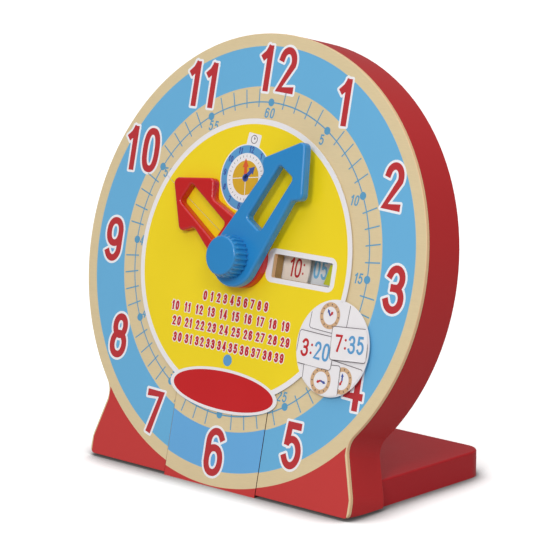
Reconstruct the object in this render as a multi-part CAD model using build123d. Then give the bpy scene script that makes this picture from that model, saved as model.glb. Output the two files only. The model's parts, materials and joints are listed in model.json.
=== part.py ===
from build123d import *
from math import acos, cos, hypot, pi, radians, sin, tan
import os

# A geared teaching clock on a wooden stand. All sizes are millimetres.
#
# The clock is drawn in the frame of its dial: x to the right, z up the dial, and y the depth
# behind the dial's printed face, which is y = 0. stand_up() then leans it back on the floor.

# ---------------------------------------------------------------- dial, body and foot
LEAN = 13.0  # degrees that the dial leans back
DIAL_RADIUS = 148.9
FOOT_REACH = 1.1  # the foot's lower edge below the dial's circle, along the dial
FOOT_LIFT = 1.9  # the floor below the foot's lower edge: the clock hangs on its block
FOOT_HALF_WIDTH = 117.7
FOOT_UPRIGHT = 11.8  # height of the upright part of each side, above the foot's lower edge
FOOT_BEND = 20.0  # rounding where a side turns upright
FOOT_CORNER = 4.0
WAIST_ANGLE = 46.0  # degrees from straight down to where the foot leaves the dial
WAIST_INSET = 1.4  # the start of the foot's side inside the dial's circle
WAIST_FILLET = 14.0
PANEL_THICKNESS = 3.0
WEB_THICKNESS = 6.0
BODY_DEPTH = 34.0  # dial face to the back of the body
BODY_EDGE = 1.0  # rounding of the body's front and rear edges
PANEL_EDGE = 0.4  # rounding of the printed panel's front edge
CAVITY_RADIUS = 90.0
CAVITY_RISE = 10.0  # the cavity's centre above the dial centre
BACK_THICKNESS = 3.0
BACK_GAP = 0.5
LEDGE = 6.0  # width of the step that the back panel is screwed to

# ---------------------------------------------------------------- stand
BOARD_WIDTH = 224.0
BOARD_DEPTH = 146.0  # front foot of the block to the board's rear edge
BOARD_THICKNESS = 18.0
BOARD_CORNER = 13.0
BOARD_EDGE = 1.5
BOARD_GAP = 0.5  # clock body to the board's sloping front edge
BLOCK_WIDTH = 82.7
BLOCK_SHIFT = -3.4  # the block's centre line from the dial's
NOTCH_WALL = 9.0  # wood between the block's top and the ledge of the back panel
BLOCK_PROUD = 0.2  # its printed face in front of the dial's
BLOCK_GAP = 0.5  # between the block and the notch of the clock
BLOCK_FACE_THICKNESS = 3.0
WELL_WALL = 4.0
WELL_SIDE = 5.0
WELL_FLOOR = 9.0
TONGUE_HEIGHT = 3.6
TONGUE_WIDTH = 6.0
TONGUE_DEPTH = 17.0  # its middle behind the dial face
TONGUE_LEAD = 6.0  # its top below the block's top
GROOVE_GAP = 0.3
DOWEL_RADIUS = 4.0
DOWEL_REACH = 14.0  # length of a dowel in the board
DOWEL_SPACING = 44.0
SCREW_SPACING = 62.0
FIXING_SINK = 1.2  # screw heads and dowels below the inner face of the well

# ---------------------------------------------------------------- time cards
CARD_COUNT = 12
CARD_SIDE_ROOM = 4.35  # from a card's side to the wall of the well
CARD_HEADROOM = 6.3  # from a card's top to the top of the block
CARD_THICKNESS = 1.3
CARD_PITCH = 1.4
CARD_CORNER = 3.0
CARD_SEAT = 0.2  # first card from the rear wall of the well

# ---------------------------------------------------------------- window and face card
WINDOW_LEFT = 23.7
WINDOW_RIGHT = 74.6
WINDOW_BOTTOM = -9.0
WINDOW_TOP = 6.5
WINDOW_CORNER = 1.2
FACE_THICKNESS = 0.5
FACE_RADIUS = 93.9
FACE_SHIFT = -3.0  # the loose card hangs a little to the left
FACE_HOLE = 17.0
OVAL_HALF_WIDTH = 48.4
OVAL_HALF_HEIGHT = 14.4
OVAL_DROP = 89.0
ROUND_TAB_RADIUS = 31.0
ROUND_TAB_X = 85.5
ROUND_TAB_Z = -46.5
FLAP_ANGLE = 30.0  # the window flap, pushed back out of the card
FLAP_LONG = 12.5
FLAP_SHORT = 4.2
SLIT_ANGLE = 299.0  # clockwise from twelve: the cut that lets the card pass the hub
SLIT_WIDTH = 0.2

# ---------------------------------------------------------------- hands and knob
HUB_RADIUS = 19.5
BARB_HALF = 23.1
SLOT_START = 26.6
SLOT_END = 69.2
SLOT_HALF = 7.6
SLOT_CORNER = 2.5
TIP_ROUND = 4.0
BARB_ROUND = 4.0
NECK_ROUND = 4.0
HAND_EDGE = 1.8
HOUR_TIP = 85.3
HOUR_BARB = 55.4
HOUR_NECK = 46.6
HOUR_NECK_HALF = 12.4
HOUR_THICKNESS = 6.0
HOUR_ANGLE = 302.5  # five past ten
MINUTE_TIP = 94.2
MINUTE_BARB = 63.2
MINUTE_NECK = 57.0
MINUTE_NECK_HALF = 15.5
MINUTE_THICKNESS = 6.0
MINUTE_ANGLE = 30.0
HAND_GAP = 1.2  # between the two hands
FACE_HAND_GAP = 0.3  # between the card and the hour hand
KNOB_RADIUS = 13.1
KNOB_HEIGHT = 12.2
KNOB_EDGE = 1.3
KNOB_RIBS = 24
RIB_WIDTH = 1.7
RIB_HEIGHT = 0.9
KNOB_BORE_DEPTH = 7.5

# ---------------------------------------------------------------- shafts and bearings
RUN = 0.06  # radial clearance of a running fit
SHAFT_RADIUS = 5.0
SHAFT_FLAT = 4.0
PIPE_RADIUS = 8.0
PIPE_FLAT = 7.0
PIPE_FLANGE_RADIUS = 12.0
PIPE_FLANGE_THICKNESS = 0.6
BUSH_WALL = 3.0
FLANGE_RADIUS = 18.5
FLANGE_THICKNESS = 0.5
NUT_ACROSS = 26.0
NUT_THICKNESS = 2.6
NUT_POCKET_RADIUS = 16.5
NUT_POCKET_DEPTH = 3.0
PIVOT_RADIUS = 4.0
REAR_BUSH_RADIUS = 9.0
REAR_BUSH_LENGTH = 5.0
REAR_FLANGE_RADIUS = 14.0
REAR_FLANGE_THICKNESS = 1.5
REAR_BUSH_END = 0.5  # closed end of the rear bush
SHAFT_END_ROOM = 0.5  # the shaft's end to the closed end of its bush
AXLE_RADIUS = 3.5
IDLER_BUSH_WALL = 2.5
IDLER_FLANGE_RADIUS = 9.0
IDLER_FLANGE_THICKNESS = 0.8
CLIP_THICKNESS = 0.8
CLIP_RIM = 3.0  # how far a clip stands out from its shaft
CLIP_GROOVE = 0.8
CLIP_MOUTH = 1.4  # a clip's open side, in radii of its groove
CLIP_ROOM = 0.3
CLIP_FREE = 2.7  # free shaft between its clip and the rear bush
AXLE_CLIP_REACH = 0.2  # the axle's end in front of its clip

# ---------------------------------------------------------------- gears and number discs
GEAR_ROOM = 3.7  # from the idler wheel's teeth to the wall of the cavity
PRESSURE_ANGLE = 25.0
BACKLASH = 0.22
ROOT_DEPTH = 1.25  # a tooth's root below the pitch circle, in modules
MINUTE_TEETH = 15
IDLER_TEETH = 45
IDLER_PINION_TEETH = 12
HOUR_TEETH = 48
WHEEL_THICKNESS = 1.6
PLANE_GAP = 0.4  # free depth between neighbouring wheels and discs
DISC_GAP = 1.0  # from the body's web back to the hour disc
HOUR_DISC_ROOM = 4.3  # from the hour disc's rim to the idler's axle
HOUR_DISC_THICKNESS = 1.0
MINUTE_DISC_ROOM = 3.5  # from the minute disc's rim to the wall of the cavity
MINUTE_DISC_THICKNESS = 1.2
MINUTE_BOSS_RADIUS = 10.0
SPOKE_HOLES = 6
SPOKE_HOLE_FILL = 0.72  # a hole's width as a part of the web between hub and rim

# ---------------------------------------------------------------- screws
SCREW_RADIUS = 1.6
SCREW_HEAD = 3.2
SCREW_HEAD_HEIGHT = 1.6
SCREW_CROSS_WIDTH = 0.8
BACK_SCREWS = 6
BACK_SCREW_TURN = 30.0  # degrees from three o'clock to the first screw
BACK_SCREW_LENGTH = 14.0
BLOCK_SCREW_LENGTH = 22.0

# ---------------------------------------------------------------- depths that follow
foot_drop = DIAL_RADIUS + FOOT_REACH
floor_drop = foot_drop + FOOT_LIFT  # dial centre down to the floor, along the dial
block_top_drop = CAVITY_RADIUS - CAVITY_RISE + LEDGE + NOTCH_WALL
web_back = PANEL_THICKNESS + WEB_THICKNESS
back_front = BODY_DEPTH - BACK_THICKNESS
card_back = -FLANGE_THICKNESS
card_front = card_back - FACE_THICKNESS
hour_hand_back = card_front - FACE_HAND_GAP
hour_hand_front = hour_hand_back - HOUR_THICKNESS
minute_hand_back = hour_hand_front - HAND_GAP
minute_hand_front = minute_hand_back - MINUTE_THICKNESS
knob_front = minute_hand_front - KNOB_HEIGHT
hour_disc_front = web_back + DISC_GAP
hour_disc_back = hour_disc_front + HOUR_DISC_THICKNESS
hour_wheel_back = hour_disc_back + WHEEL_THICKNESS
second_front = hour_wheel_back + PLANE_GAP
second_back = second_front + WHEEL_THICKNESS
minute_disc_front = second_back + PLANE_GAP
minute_disc_back = minute_disc_front + MINUTE_DISC_THICKNESS
rear_bush_front = back_front - REAR_BUSH_LENGTH
clip_front = rear_bush_front - CLIP_FREE - CLIP_THICKNESS
minute_boss_back = clip_front - CLIP_ROOM
shaft_back = back_front - REAR_BUSH_END - SHAFT_END_ROOM
idler_reach = MINUTE_TEETH / 2 + IDLER_TEETH + 1  # dial centre to its farthest tooth, in modules
gear_module = (CAVITY_RADIUS + CAVITY_RISE - GEAR_ROOM) / idler_reach
centre_distance = gear_module * (MINUTE_TEETH + IDLER_TEETH) / 2
hour_disc_radius = centre_distance - AXLE_RADIUS - HOUR_DISC_ROOM
minute_disc_radius = CAVITY_RADIUS - CAVITY_RISE - MINUTE_DISC_ROOM
floor_height = floor_drop * cos(radians(LEAN))  # the dial centre above the floor
foot_clearance = FOOT_LIFT * cos(radians(LEAN))
front_y = -BOARD_DEPTH / 2
centre_y = front_y + floor_drop * sin(radians(LEAN)) + BLOCK_PROUD * cos(radians(LEAN))


# ---------------------------------------------------------------- drawing helpers
TOUCH = 0.01  # how near a corner or an edge must lie to count as on a line


def slab(sketch, front, back):
    """A sketch in the dial's x and z, as a solid from one depth to another."""
    plane = Plane(origin=(0, back, 0), x_dir=(1, 0, 0), z_dir=(0, -1, 0))
    return extrude(plane * sketch, amount=back - front)


def stand_up(shape):
    """Lean a shape drawn in the dial's frame back onto the floor."""
    return Pos(0, centre_y, floor_height) * Rot(-LEAN, 0, 0) * shape


def below(height):
    """Everything lower than a height above the floor, under the whole object."""
    reach = 2 * floor_drop
    return Pos(0, 0, height - reach / 2) * Box(2 * reach, 2 * reach, reach)


def clock_angle(angle, sketch):
    """Turn a sketch clockwise from twelve, as it is seen from the front."""
    return Rot(0, 0, -angle) * sketch


def tube(outer, inner, front, back):
    return slab(Circle(outer) - Circle(inner), front, back)


def double_flat(radius, flat):
    """A round section with two flats, which carries a hand round with its shaft."""
    return Circle(radius) & Rectangle(2 * radius, 2 * flat)


def round_rim(solid, depth, radius):
    """Round every edge of a solid that lies flat at one depth."""
    rim = solid.edges().filter_by_position(Axis.Y, depth - TOUCH, depth + TOUCH)
    return fillet(rim, radius)


# ---------------------------------------------------------------- outlines
def clock_outline():
    """The round dial with its foot, which has rounded corners and a filleted waist."""
    waist_x = (DIAL_RADIUS - WAIST_INSET) * sin(radians(WAIST_ANGLE))
    waist_y = -(DIAL_RADIUS - WAIST_INSET) * cos(radians(WAIST_ANGLE))
    bend_y = FOOT_UPRIGHT - foot_drop
    foot = make_face(
        Polyline(
            (-waist_x, waist_y),
            (-FOOT_HALF_WIDTH, bend_y),
            (-FOOT_HALF_WIDTH, -foot_drop),
            (FOOT_HALF_WIDTH, -foot_drop),
            (FOOT_HALF_WIDTH, bend_y),
            (waist_x, waist_y),
            close=True,
        )
    )
    outline = Circle(DIAL_RADIUS) + foot
    outline = fillet(outline.vertices().sort_by(Axis.Y)[:2], FOOT_CORNER)
    bends = [v for v in outline.vertices() if abs(v.Y - bend_y) < TOUCH]
    outline = fillet(bends, FOOT_BEND)
    on_circle = [v for v in outline.vertices() if abs(hypot(v.X, v.Y) - DIAL_RADIUS) < TOUCH]
    waists = [v for v in on_circle if v.Y < waist_y / 2]
    return fillet(waists, WAIST_FILLET)


def notch_outline(gap):
    """The cut at the foot that the block fills, open at the bottom."""
    top = block_top_drop - gap
    height = floor_drop - top
    middle = -top - height / 2
    return Pos(BLOCK_SHIFT, middle) * Rectangle(BLOCK_WIDTH + 2 * gap, height)


def groove_pair(extra):
    """Both tongues beside the block, or with extra the grooves that they slide in."""
    top = -block_top_drop - TONGUE_LEAD + extra
    height = floor_drop + top
    reach = TONGUE_HEIGHT + extra
    front = TONGUE_DEPTH - TONGUE_WIDTH / 2 - extra
    back = TONGUE_DEPTH + TONGUE_WIDTH / 2 + extra
    pair = []
    for side in (-1, 1):
        x = BLOCK_SHIFT + side * (BLOCK_WIDTH + reach) / 2
        pair.append(slab(Pos(x, top - height / 2) * Rectangle(reach, height), front, back))
    return pair


def window_outline():
    width = WINDOW_RIGHT - WINDOW_LEFT
    height = WINDOW_TOP - WINDOW_BOTTOM
    middle = Pos((WINDOW_LEFT + WINDOW_RIGHT) / 2, (WINDOW_BOTTOM + WINDOW_TOP) / 2)
    return middle * RectangleRounded(width, height, WINDOW_CORNER)


def hand_outline(tip, barb, neck, neck_half):
    """A broad arrow that points to twelve, with a long rounded slot."""
    arrow = make_face(
        Polyline(
            (-HUB_RADIUS, 0),
            (-neck_half, neck),
            (-BARB_HALF, barb),
            (0, tip),
            (BARB_HALF, barb),
            (neck_half, neck),
            (HUB_RADIUS, 0),
            close=True,
        )
    )
    arrow = fillet(arrow.vertices().sort_by(Axis.Y)[-1], TIP_ROUND)
    barbs = [v for v in arrow.vertices() if abs(abs(v.X) - BARB_HALF) < TOUCH]
    arrow = fillet(barbs, BARB_ROUND)
    necks = [v for v in arrow.vertices() if abs(v.Y - neck) < TOUCH]
    arrow = fillet(necks, NECK_ROUND)
    slot = Pos(0, (SLOT_START + SLOT_END) / 2) * RectangleRounded(
        2 * SLOT_HALF, SLOT_END - SLOT_START, SLOT_CORNER
    )
    return arrow + Circle(HUB_RADIUS) - slot


def gear_outline(teeth, phase=0.0):
    """An involute gear. A tooth stands at the top of the gear, turned by phase teeth.

    Each flank is one arc through three points of its involute, from the base circle, or the
    root where that is larger, out to the tip. A pinion's flanks run radially down to its root.
    """
    pitch = gear_module * teeth / 2
    base = pitch * cos(radians(PRESSURE_ANGLE))
    tip = pitch + gear_module
    root = pitch - ROOT_DEPTH * gear_module
    start = max(base, root)

    def roll(radius):
        pressure = acos(min(1.0, base / radius))
        return tan(pressure) - pressure

    half_tooth = (pi * gear_module / 2 - BACKLASH / 2) / (2 * pitch) + roll(pitch)

    def point(radius, side, tooth, at=None):
        turn = roll(radius if at is None else at)
        angle = 2 * pi * (tooth + phase) / teeth + side * (half_tooth - turn)
        return (radius * sin(angle), radius * cos(angle))

    middle = (start + tip) / 2
    edges = []
    for tooth in range(teeth):
        rise = [point(radius, -1, tooth) for radius in (start, middle, tip)]
        fall = [point(radius, 1, tooth) for radius in (tip, middle, start)]
        foot = point(root, 1, tooth, start)
        next_foot = point(root, -1, tooth + 1, start)
        edges += [ThreePointArc(*rise), Line(rise[2], fall[0]), ThreePointArc(*fall)]
        edges.append(Line(foot, next_foot))
        if start > root:
            edges.append(Line(fall[2], foot))
            edges.append(Line(next_foot, point(start, -1, tooth + 1)))
    return make_face(Wire(edges))


def spoke_holes(inner, outer, count):
    """Round holes evenly spaced between a hub and a rim."""
    radius = SPOKE_HOLE_FILL * (outer - inner) / 2
    return PolarLocations((inner + outer) / 2, count) * Circle(radius)


def clip_ring(groove_radius, front):
    """A spring clip, open at one side, that snaps into a groove of a shaft."""
    ring = Circle(groove_radius + CLIP_RIM) - Circle(groove_radius)
    mouth = Pos(0, -groove_radius - CLIP_RIM) * Rectangle(
        CLIP_MOUTH * groove_radius, 2 * (groove_radius + CLIP_RIM)
    )
    return slab(ring - mouth, front, front + CLIP_THICKNESS)


def screw_blank(length):
    """A countersunk screw along +Z without its slots: its head's face is at z = 0."""
    straight = length - SCREW_HEAD_HEIGHT - 2 * SCREW_RADIUS
    profile = make_face(
        Polyline(
            (0, 0),
            (SCREW_HEAD, 0),
            (SCREW_RADIUS, -SCREW_HEAD_HEIGHT),
            (SCREW_RADIUS, -SCREW_HEAD_HEIGHT - straight),
            (0, -length),
            close=True,
        )
    )
    return revolve(Plane.XZ * profile, Axis.Z)


def wood_screw(length):
    """The same screw with the cross in its head."""
    cross = Box(SCREW_HEAD, SCREW_CROSS_WIDTH, SCREW_HEAD_HEIGHT)
    return screw_blank(length) - cross - Rot(0, 0, 90) * cross


def screw_room(length):
    """The hole of a screw, with its countersink and the way in to its head."""
    way_in = Cylinder(SCREW_HEAD, FIXING_SINK, align=(Align.CENTER, Align.CENTER, Align.MIN))
    return screw_blank(length) + way_in


# ---------------------------------------------------------------- the clock's body
outline = clock_outline()
bush_outer = PIPE_RADIUS + RUN + BUSH_WALL
idler_bush_outer = AXLE_RADIUS + RUN + IDLER_BUSH_WALL
idler_place = Pos(0, centre_distance)
axle_clip_room = PANEL_THICKNESS + CLIP_THICKNESS + 2 * CLIP_ROOM
grooves = groove_pair(GROOVE_GAP)

front_panel = round_rim(slab(outline, 0, PANEL_THICKNESS), 0, PANEL_EDGE)
front_panel -= slab(notch_outline(BLOCK_GAP), 0, PANEL_THICKNESS)
front_panel -= slab(window_outline() + Circle(bush_outer), 0, PANEL_THICKNESS)

cavity_place = Pos(0, CAVITY_RISE)
clock_body = slab(outline, PANEL_THICKNESS, BODY_DEPTH)
clock_body = round_rim(clock_body, PANEL_THICKNESS, BODY_EDGE)
clock_body = round_rim(clock_body, BODY_DEPTH, BODY_EDGE)
clock_body -= slab(notch_outline(BLOCK_GAP), PANEL_THICKNESS, BODY_DEPTH)
clock_body -= slab(cavity_place * Circle(CAVITY_RADIUS), web_back, BODY_DEPTH)
clock_body -= slab(cavity_place * Circle(CAVITY_RADIUS + LEDGE), back_front, BODY_DEPTH)
clock_body -= slab(window_outline() + Circle(bush_outer), PANEL_THICKNESS, web_back)
clock_body -= slab(Circle(NUT_POCKET_RADIUS), web_back - NUT_POCKET_DEPTH, web_back)
clock_body -= slab(idler_place * Circle(idler_bush_outer), PANEL_THICKNESS, web_back)
clock_body -= slab(
    idler_place * Circle(AXLE_RADIUS + CLIP_RIM + 2 * CLIP_ROOM), PANEL_THICKNESS, axle_clip_room
)
clock_body -= grooves

back_screw_places = [
    cavity_place * loc
    for loc in PolarLocations(CAVITY_RADIUS + LEDGE / 2, BACK_SCREWS, BACK_SCREW_TURN)
]
back_panel = slab(cavity_place * Circle(CAVITY_RADIUS + LEDGE - BACK_GAP), back_front, BODY_DEPTH)
back_screws = []
for place in back_screw_places:
    at = Pos(place.position.X, BODY_DEPTH, place.position.Y) * Rot(-90, 0, 0)
    back_panel -= at * screw_room(BACK_SCREW_LENGTH)
    clock_body -= at * screw_room(BACK_SCREW_LENGTH)
    back_screws.append(at * wood_screw(BACK_SCREW_LENGTH))

rear_bush = tube(REAR_BUSH_RADIUS, PIVOT_RADIUS + RUN, rear_bush_front, back_front)
rear_bush += slab(Circle(REAR_FLANGE_RADIUS), back_front - REAR_FLANGE_THICKNESS, back_front)
rear_bush -= slab(Circle(PIVOT_RADIUS + RUN), rear_bush_front, back_front - REAR_BUSH_END)

hub_bush = tube(bush_outer, PIPE_RADIUS + RUN, card_back, web_back - CLIP_ROOM)
hub_bush += tube(FLANGE_RADIUS, PIPE_RADIUS + RUN, card_back, 0)
nut_front = web_back - NUT_POCKET_DEPTH
hub_nut = slab(
    RegularPolygon(NUT_ACROSS / 2, 6, major_radius=False) - Circle(bush_outer),
    nut_front,
    nut_front + NUT_THICKNESS,
)

idler_bush = tube(idler_bush_outer, AXLE_RADIUS + RUN, axle_clip_room, web_back)
idler_bush += tube(
    IDLER_FLANGE_RADIUS, AXLE_RADIUS + RUN, web_back, web_back + IDLER_FLANGE_THICKNESS
)
idler_bush = Pos(0, 0, centre_distance) * idler_bush

# ---------------------------------------------------------------- the printed card on the dial
face_outline = Pos(FACE_SHIFT, 0) * Circle(FACE_RADIUS)
face_outline += Pos(FACE_SHIFT, -OVAL_DROP) * Ellipse(OVAL_HALF_WIDTH, OVAL_HALF_HEIGHT)
face_outline += Pos(ROUND_TAB_X, ROUND_TAB_Z) * Circle(ROUND_TAB_RADIUS)
slit = Pos(0, FACE_RADIUS) * Rectangle(SLIT_WIDTH, 2 * FACE_RADIUS)
face_outline -= Circle(FACE_HOLE) + window_outline() + clock_angle(SLIT_ANGLE, slit)
face_card = slab(face_outline, card_front, card_back)
flap_height = WINDOW_TOP - WINDOW_BOTTOM - 2 * WINDOW_CORNER
flap_low = WINDOW_BOTTOM + WINDOW_CORNER
flap_outline = make_face(
    Polyline(
        (0, flap_low),
        (-FLAP_LONG, flap_low),
        (-FLAP_SHORT, flap_low + flap_height),
        (0, flap_low + flap_height),
        close=True,
    )
)
flap = slab(flap_outline, 0, FACE_THICKNESS)
face_card += Pos(WINDOW_RIGHT, card_front, 0) * Rot(0, 0, -FLAP_ANGLE) * flap

# ---------------------------------------------------------------- hour pieces
pipe_back = hour_wheel_back
hour_outline = hand_outline(HOUR_TIP, HOUR_BARB, HOUR_NECK, HOUR_NECK_HALF)
hour_hand = slab(clock_angle(HOUR_ANGLE, hour_outline), hour_hand_front, hour_hand_back)
hour_hand = round_rim(hour_hand, hour_hand_front, HAND_EDGE)
hour_hand -= slab(double_flat(PIPE_RADIUS, PIPE_FLAT), hour_hand_front, hour_hand_back)

hour_pipe = slab(double_flat(PIPE_RADIUS, PIPE_FLAT), hour_hand_front, hour_hand_back)
hour_pipe += slab(Circle(PIPE_RADIUS), hour_hand_back, pipe_back)
hour_pipe += slab(
    Circle(PIPE_FLANGE_RADIUS), hour_disc_front - PIPE_FLANGE_THICKNESS, hour_disc_front
)
hour_pipe -= slab(Circle(SHAFT_RADIUS + RUN), hour_hand_front, pipe_back)

hour_disc = tube(hour_disc_radius, PIPE_RADIUS, hour_disc_front, hour_disc_back)
hour_wheel = gear_outline(HOUR_TEETH, 0.5) - Circle(PIPE_RADIUS)
hour_wheel -= spoke_holes(PIPE_FLANGE_RADIUS, gear_module * HOUR_TEETH / 2 - 2 * gear_module, SPOKE_HOLES)
hour_wheel = slab(hour_wheel, hour_disc_back, hour_wheel_back)

# ---------------------------------------------------------------- minute pieces
minute_outline = hand_outline(MINUTE_TIP, MINUTE_BARB, MINUTE_NECK, MINUTE_NECK_HALF)
minute_hand = slab(clock_angle(MINUTE_ANGLE, minute_outline), minute_hand_front, minute_hand_back)
minute_hand = round_rim(minute_hand, minute_hand_front, HAND_EDGE)
minute_hand -= slab(double_flat(SHAFT_RADIUS, SHAFT_FLAT), minute_hand_front, minute_hand_back)

shaft_front = minute_hand_front - KNOB_BORE_DEPTH
knob = round_rim(slab(Circle(KNOB_RADIUS), knob_front, minute_hand_front), knob_front, KNOB_EDGE)
rib = Rectangle(2 * RIB_HEIGHT, RIB_WIDTH)
knob += slab(Sketch() + PolarLocations(KNOB_RADIUS, KNOB_RIBS) * rib,
             knob_front + KNOB_EDGE, minute_hand_front)
knob -= slab(double_flat(SHAFT_RADIUS, SHAFT_FLAT), shaft_front, minute_hand_front)

minute_shaft = slab(double_flat(SHAFT_RADIUS, SHAFT_FLAT), shaft_front, minute_hand_back)
minute_shaft += slab(Circle(SHAFT_RADIUS), minute_hand_back, rear_bush_front - CLIP_ROOM)
minute_shaft += slab(Circle(PIVOT_RADIUS), rear_bush_front - CLIP_ROOM, shaft_back)
minute_shaft -= tube(SHAFT_RADIUS, SHAFT_RADIUS - CLIP_GROOVE, clip_front, clip_front + CLIP_THICKNESS)
shaft_clip = clip_ring(SHAFT_RADIUS - CLIP_GROOVE, clip_front)

minute_pinion = slab(gear_outline(MINUTE_TEETH) - Circle(SHAFT_RADIUS), second_front, second_back)
minute_disc = tube(minute_disc_radius, SHAFT_RADIUS, minute_disc_front, minute_disc_back)
minute_disc += tube(MINUTE_BOSS_RADIUS, SHAFT_RADIUS, minute_disc_back, minute_boss_back)

# ---------------------------------------------------------------- idler pieces
axle_front = PANEL_THICKNESS + CLIP_ROOM
axle_clip_front = axle_front + AXLE_CLIP_REACH
axle_clip_back = axle_clip_front + CLIP_THICKNESS
idler_axle = slab(Circle(AXLE_RADIUS), axle_front, second_back)
idler_axle -= tube(AXLE_RADIUS, AXLE_RADIUS - CLIP_GROOVE, axle_clip_front, axle_clip_back)
idler_clip = clip_ring(AXLE_RADIUS - CLIP_GROOVE, axle_clip_front)
idler_pinion = slab(
    gear_outline(IDLER_PINION_TEETH) - Circle(AXLE_RADIUS), hour_disc_back, second_front
)
idler_wheel = gear_outline(IDLER_TEETH) - Circle(AXLE_RADIUS)
idler_wheel -= spoke_holes(gear_module * IDLER_PINION_TEETH / 2 + gear_module,
                           gear_module * IDLER_TEETH / 2 - 2 * gear_module, SPOKE_HOLES)
idler_wheel = slab(idler_wheel, second_front, second_back)
idler_lift = Pos(0, 0, centre_distance)

# ---------------------------------------------------------------- stand
block_back = BODY_DEPTH + BOARD_GAP
block_face_back = BLOCK_FACE_THICKNESS - BLOCK_PROUD
well_front = block_face_back + WELL_WALL
well_back = block_back - WELL_WALL
well_bottom = -floor_drop + WELL_FLOOR + well_front * tan(radians(LEAN))
block_outline = notch_outline(0)
block_outline += Pos(0, -BLOCK_GAP) * block_outline  # long enough to be cut off at the floor

six_block_front = stand_up(slab(block_outline, -BLOCK_PROUD, block_face_back)) - below(0)
six_block = slab(block_outline, block_face_back, block_back)
well_height = -block_top_drop - well_bottom
well_width = BLOCK_WIDTH - 2 * WELL_SIDE
well_outline = Pos(BLOCK_SHIFT, well_bottom + well_height / 2) * Rectangle(well_width, well_height)
six_block -= slab(well_outline, well_front, well_back)
six_block += groove_pair(0)
six_block = stand_up(six_block) - below(0)

card_width = well_width - 2 * CARD_SIDE_ROOM
card_height = well_height - CARD_HEADROOM
time_cards = []
for number in range(CARD_COUNT):
    back = well_back - CARD_SEAT - number * CARD_PITCH
    middle = Pos(BLOCK_SHIFT, well_bottom + card_height / 2)
    card = middle * RectangleRounded(card_width, card_height, CARD_CORNER)
    time_cards.append(stand_up(slab(card, back - CARD_THICKNESS, back)))

board_front = centre_y + block_back / cos(radians(LEAN)) - floor_height * tan(radians(LEAN))
board_rear = front_y + BOARD_DEPTH
board_top_front = board_front + BOARD_THICKNESS * tan(radians(LEAN))
board_profile = make_face(
    Polyline(
        (board_front, 0),
        (board_rear, 0),
        (board_rear, BOARD_THICKNESS),
        (board_top_front, BOARD_THICKNESS),
        close=True,
    )
)
base_board = extrude(Plane.YZ * board_profile, amount=BOARD_WIDTH / 2, both=True)
rear_corners = base_board.edges().filter_by(Axis.Z).sort_by(Axis.Y)[-2:]
base_board = fillet(rear_corners, BOARD_CORNER)
top_rim = base_board.faces().sort_by(Axis.Z)[-1].edges()
base_board = fillet(top_rim, BOARD_EDGE)

fixing_height = BOARD_THICKNESS / 2
fixing_front = board_front + fixing_height * tan(radians(LEAN)) - WELL_WALL / cos(radians(LEAN))
fixing_front += FIXING_SINK
dowel_length = WELL_WALL + DOWEL_REACH
block_dowels = []
for side in (-1, 1):
    at = Pos(BLOCK_SHIFT + side * DOWEL_SPACING / 2, fixing_front + dowel_length / 2, fixing_height)
    block_dowels.append(at * Rot(90, 0, 0) * Cylinder(DOWEL_RADIUS, dowel_length))
block_screws = []
for side in (-1, 1):
    at = Pos(BLOCK_SHIFT + side * SCREW_SPACING / 2, fixing_front, fixing_height) * Rot(90, 0, 0)
    block_screws.append(at * wood_screw(BLOCK_SCREW_LENGTH))
    six_block -= at * screw_room(BLOCK_SCREW_LENGTH)
    base_board -= at * screw_room(BLOCK_SCREW_LENGTH)
six_block -= block_dowels
base_board -= block_dowels

# ---------------------------------------------------------------- write the nodes
leaning = {
    "front_panel": front_panel,
    "clock_body": clock_body,
    "back_panel": back_panel,
    "back_screws": Compound(children=back_screws),
    "rear_bush": rear_bush,
    "hub_bush": hub_bush,
    "hub_nut": hub_nut,
    "idler_bush": idler_bush,
    "face_card": face_card,
    "hour_hand": hour_hand,
    "hour_pipe": hour_pipe,
    "hour_disc": hour_disc,
    "hour_wheel": hour_wheel,
    "minute_hand": minute_hand,
    "knob": knob,
    "minute_shaft": minute_shaft,
    "shaft_clip": shaft_clip,
    "minute_pinion": minute_pinion,
    "minute_disc": minute_disc,
    "idler_wheel": idler_lift * idler_wheel,
    "idler_pinion": idler_lift * idler_pinion,
    "idler_axle": idler_lift * idler_axle,
    "idler_clip": idler_lift * idler_clip,
}
nodes = {name: stand_up(shape) for name, shape in leaning.items()}
nodes["front_panel"] -= below(foot_clearance)
nodes["clock_body"] -= below(foot_clearance)
nodes["base_board"] = base_board
nodes["six_block"] = six_block
nodes["six_block_front"] = six_block_front
nodes["block_dowels"] = Compound(children=block_dowels)
nodes["block_screws"] = Compound(children=block_screws)
nodes["time_cards"] = Compound(children=time_cards)

os.makedirs("parts", exist_ok=True)
for name, shape in nodes.items():
    export_step(shape, f"parts/{name}.step")
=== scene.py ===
import functools
import json
import math

import bpy
import numpy as np
from bpy.props import FloatProperty, FloatVectorProperty, IntProperty, PointerProperty
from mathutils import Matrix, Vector
from mathutils.geometry import delaunay_2d_cdt


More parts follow.
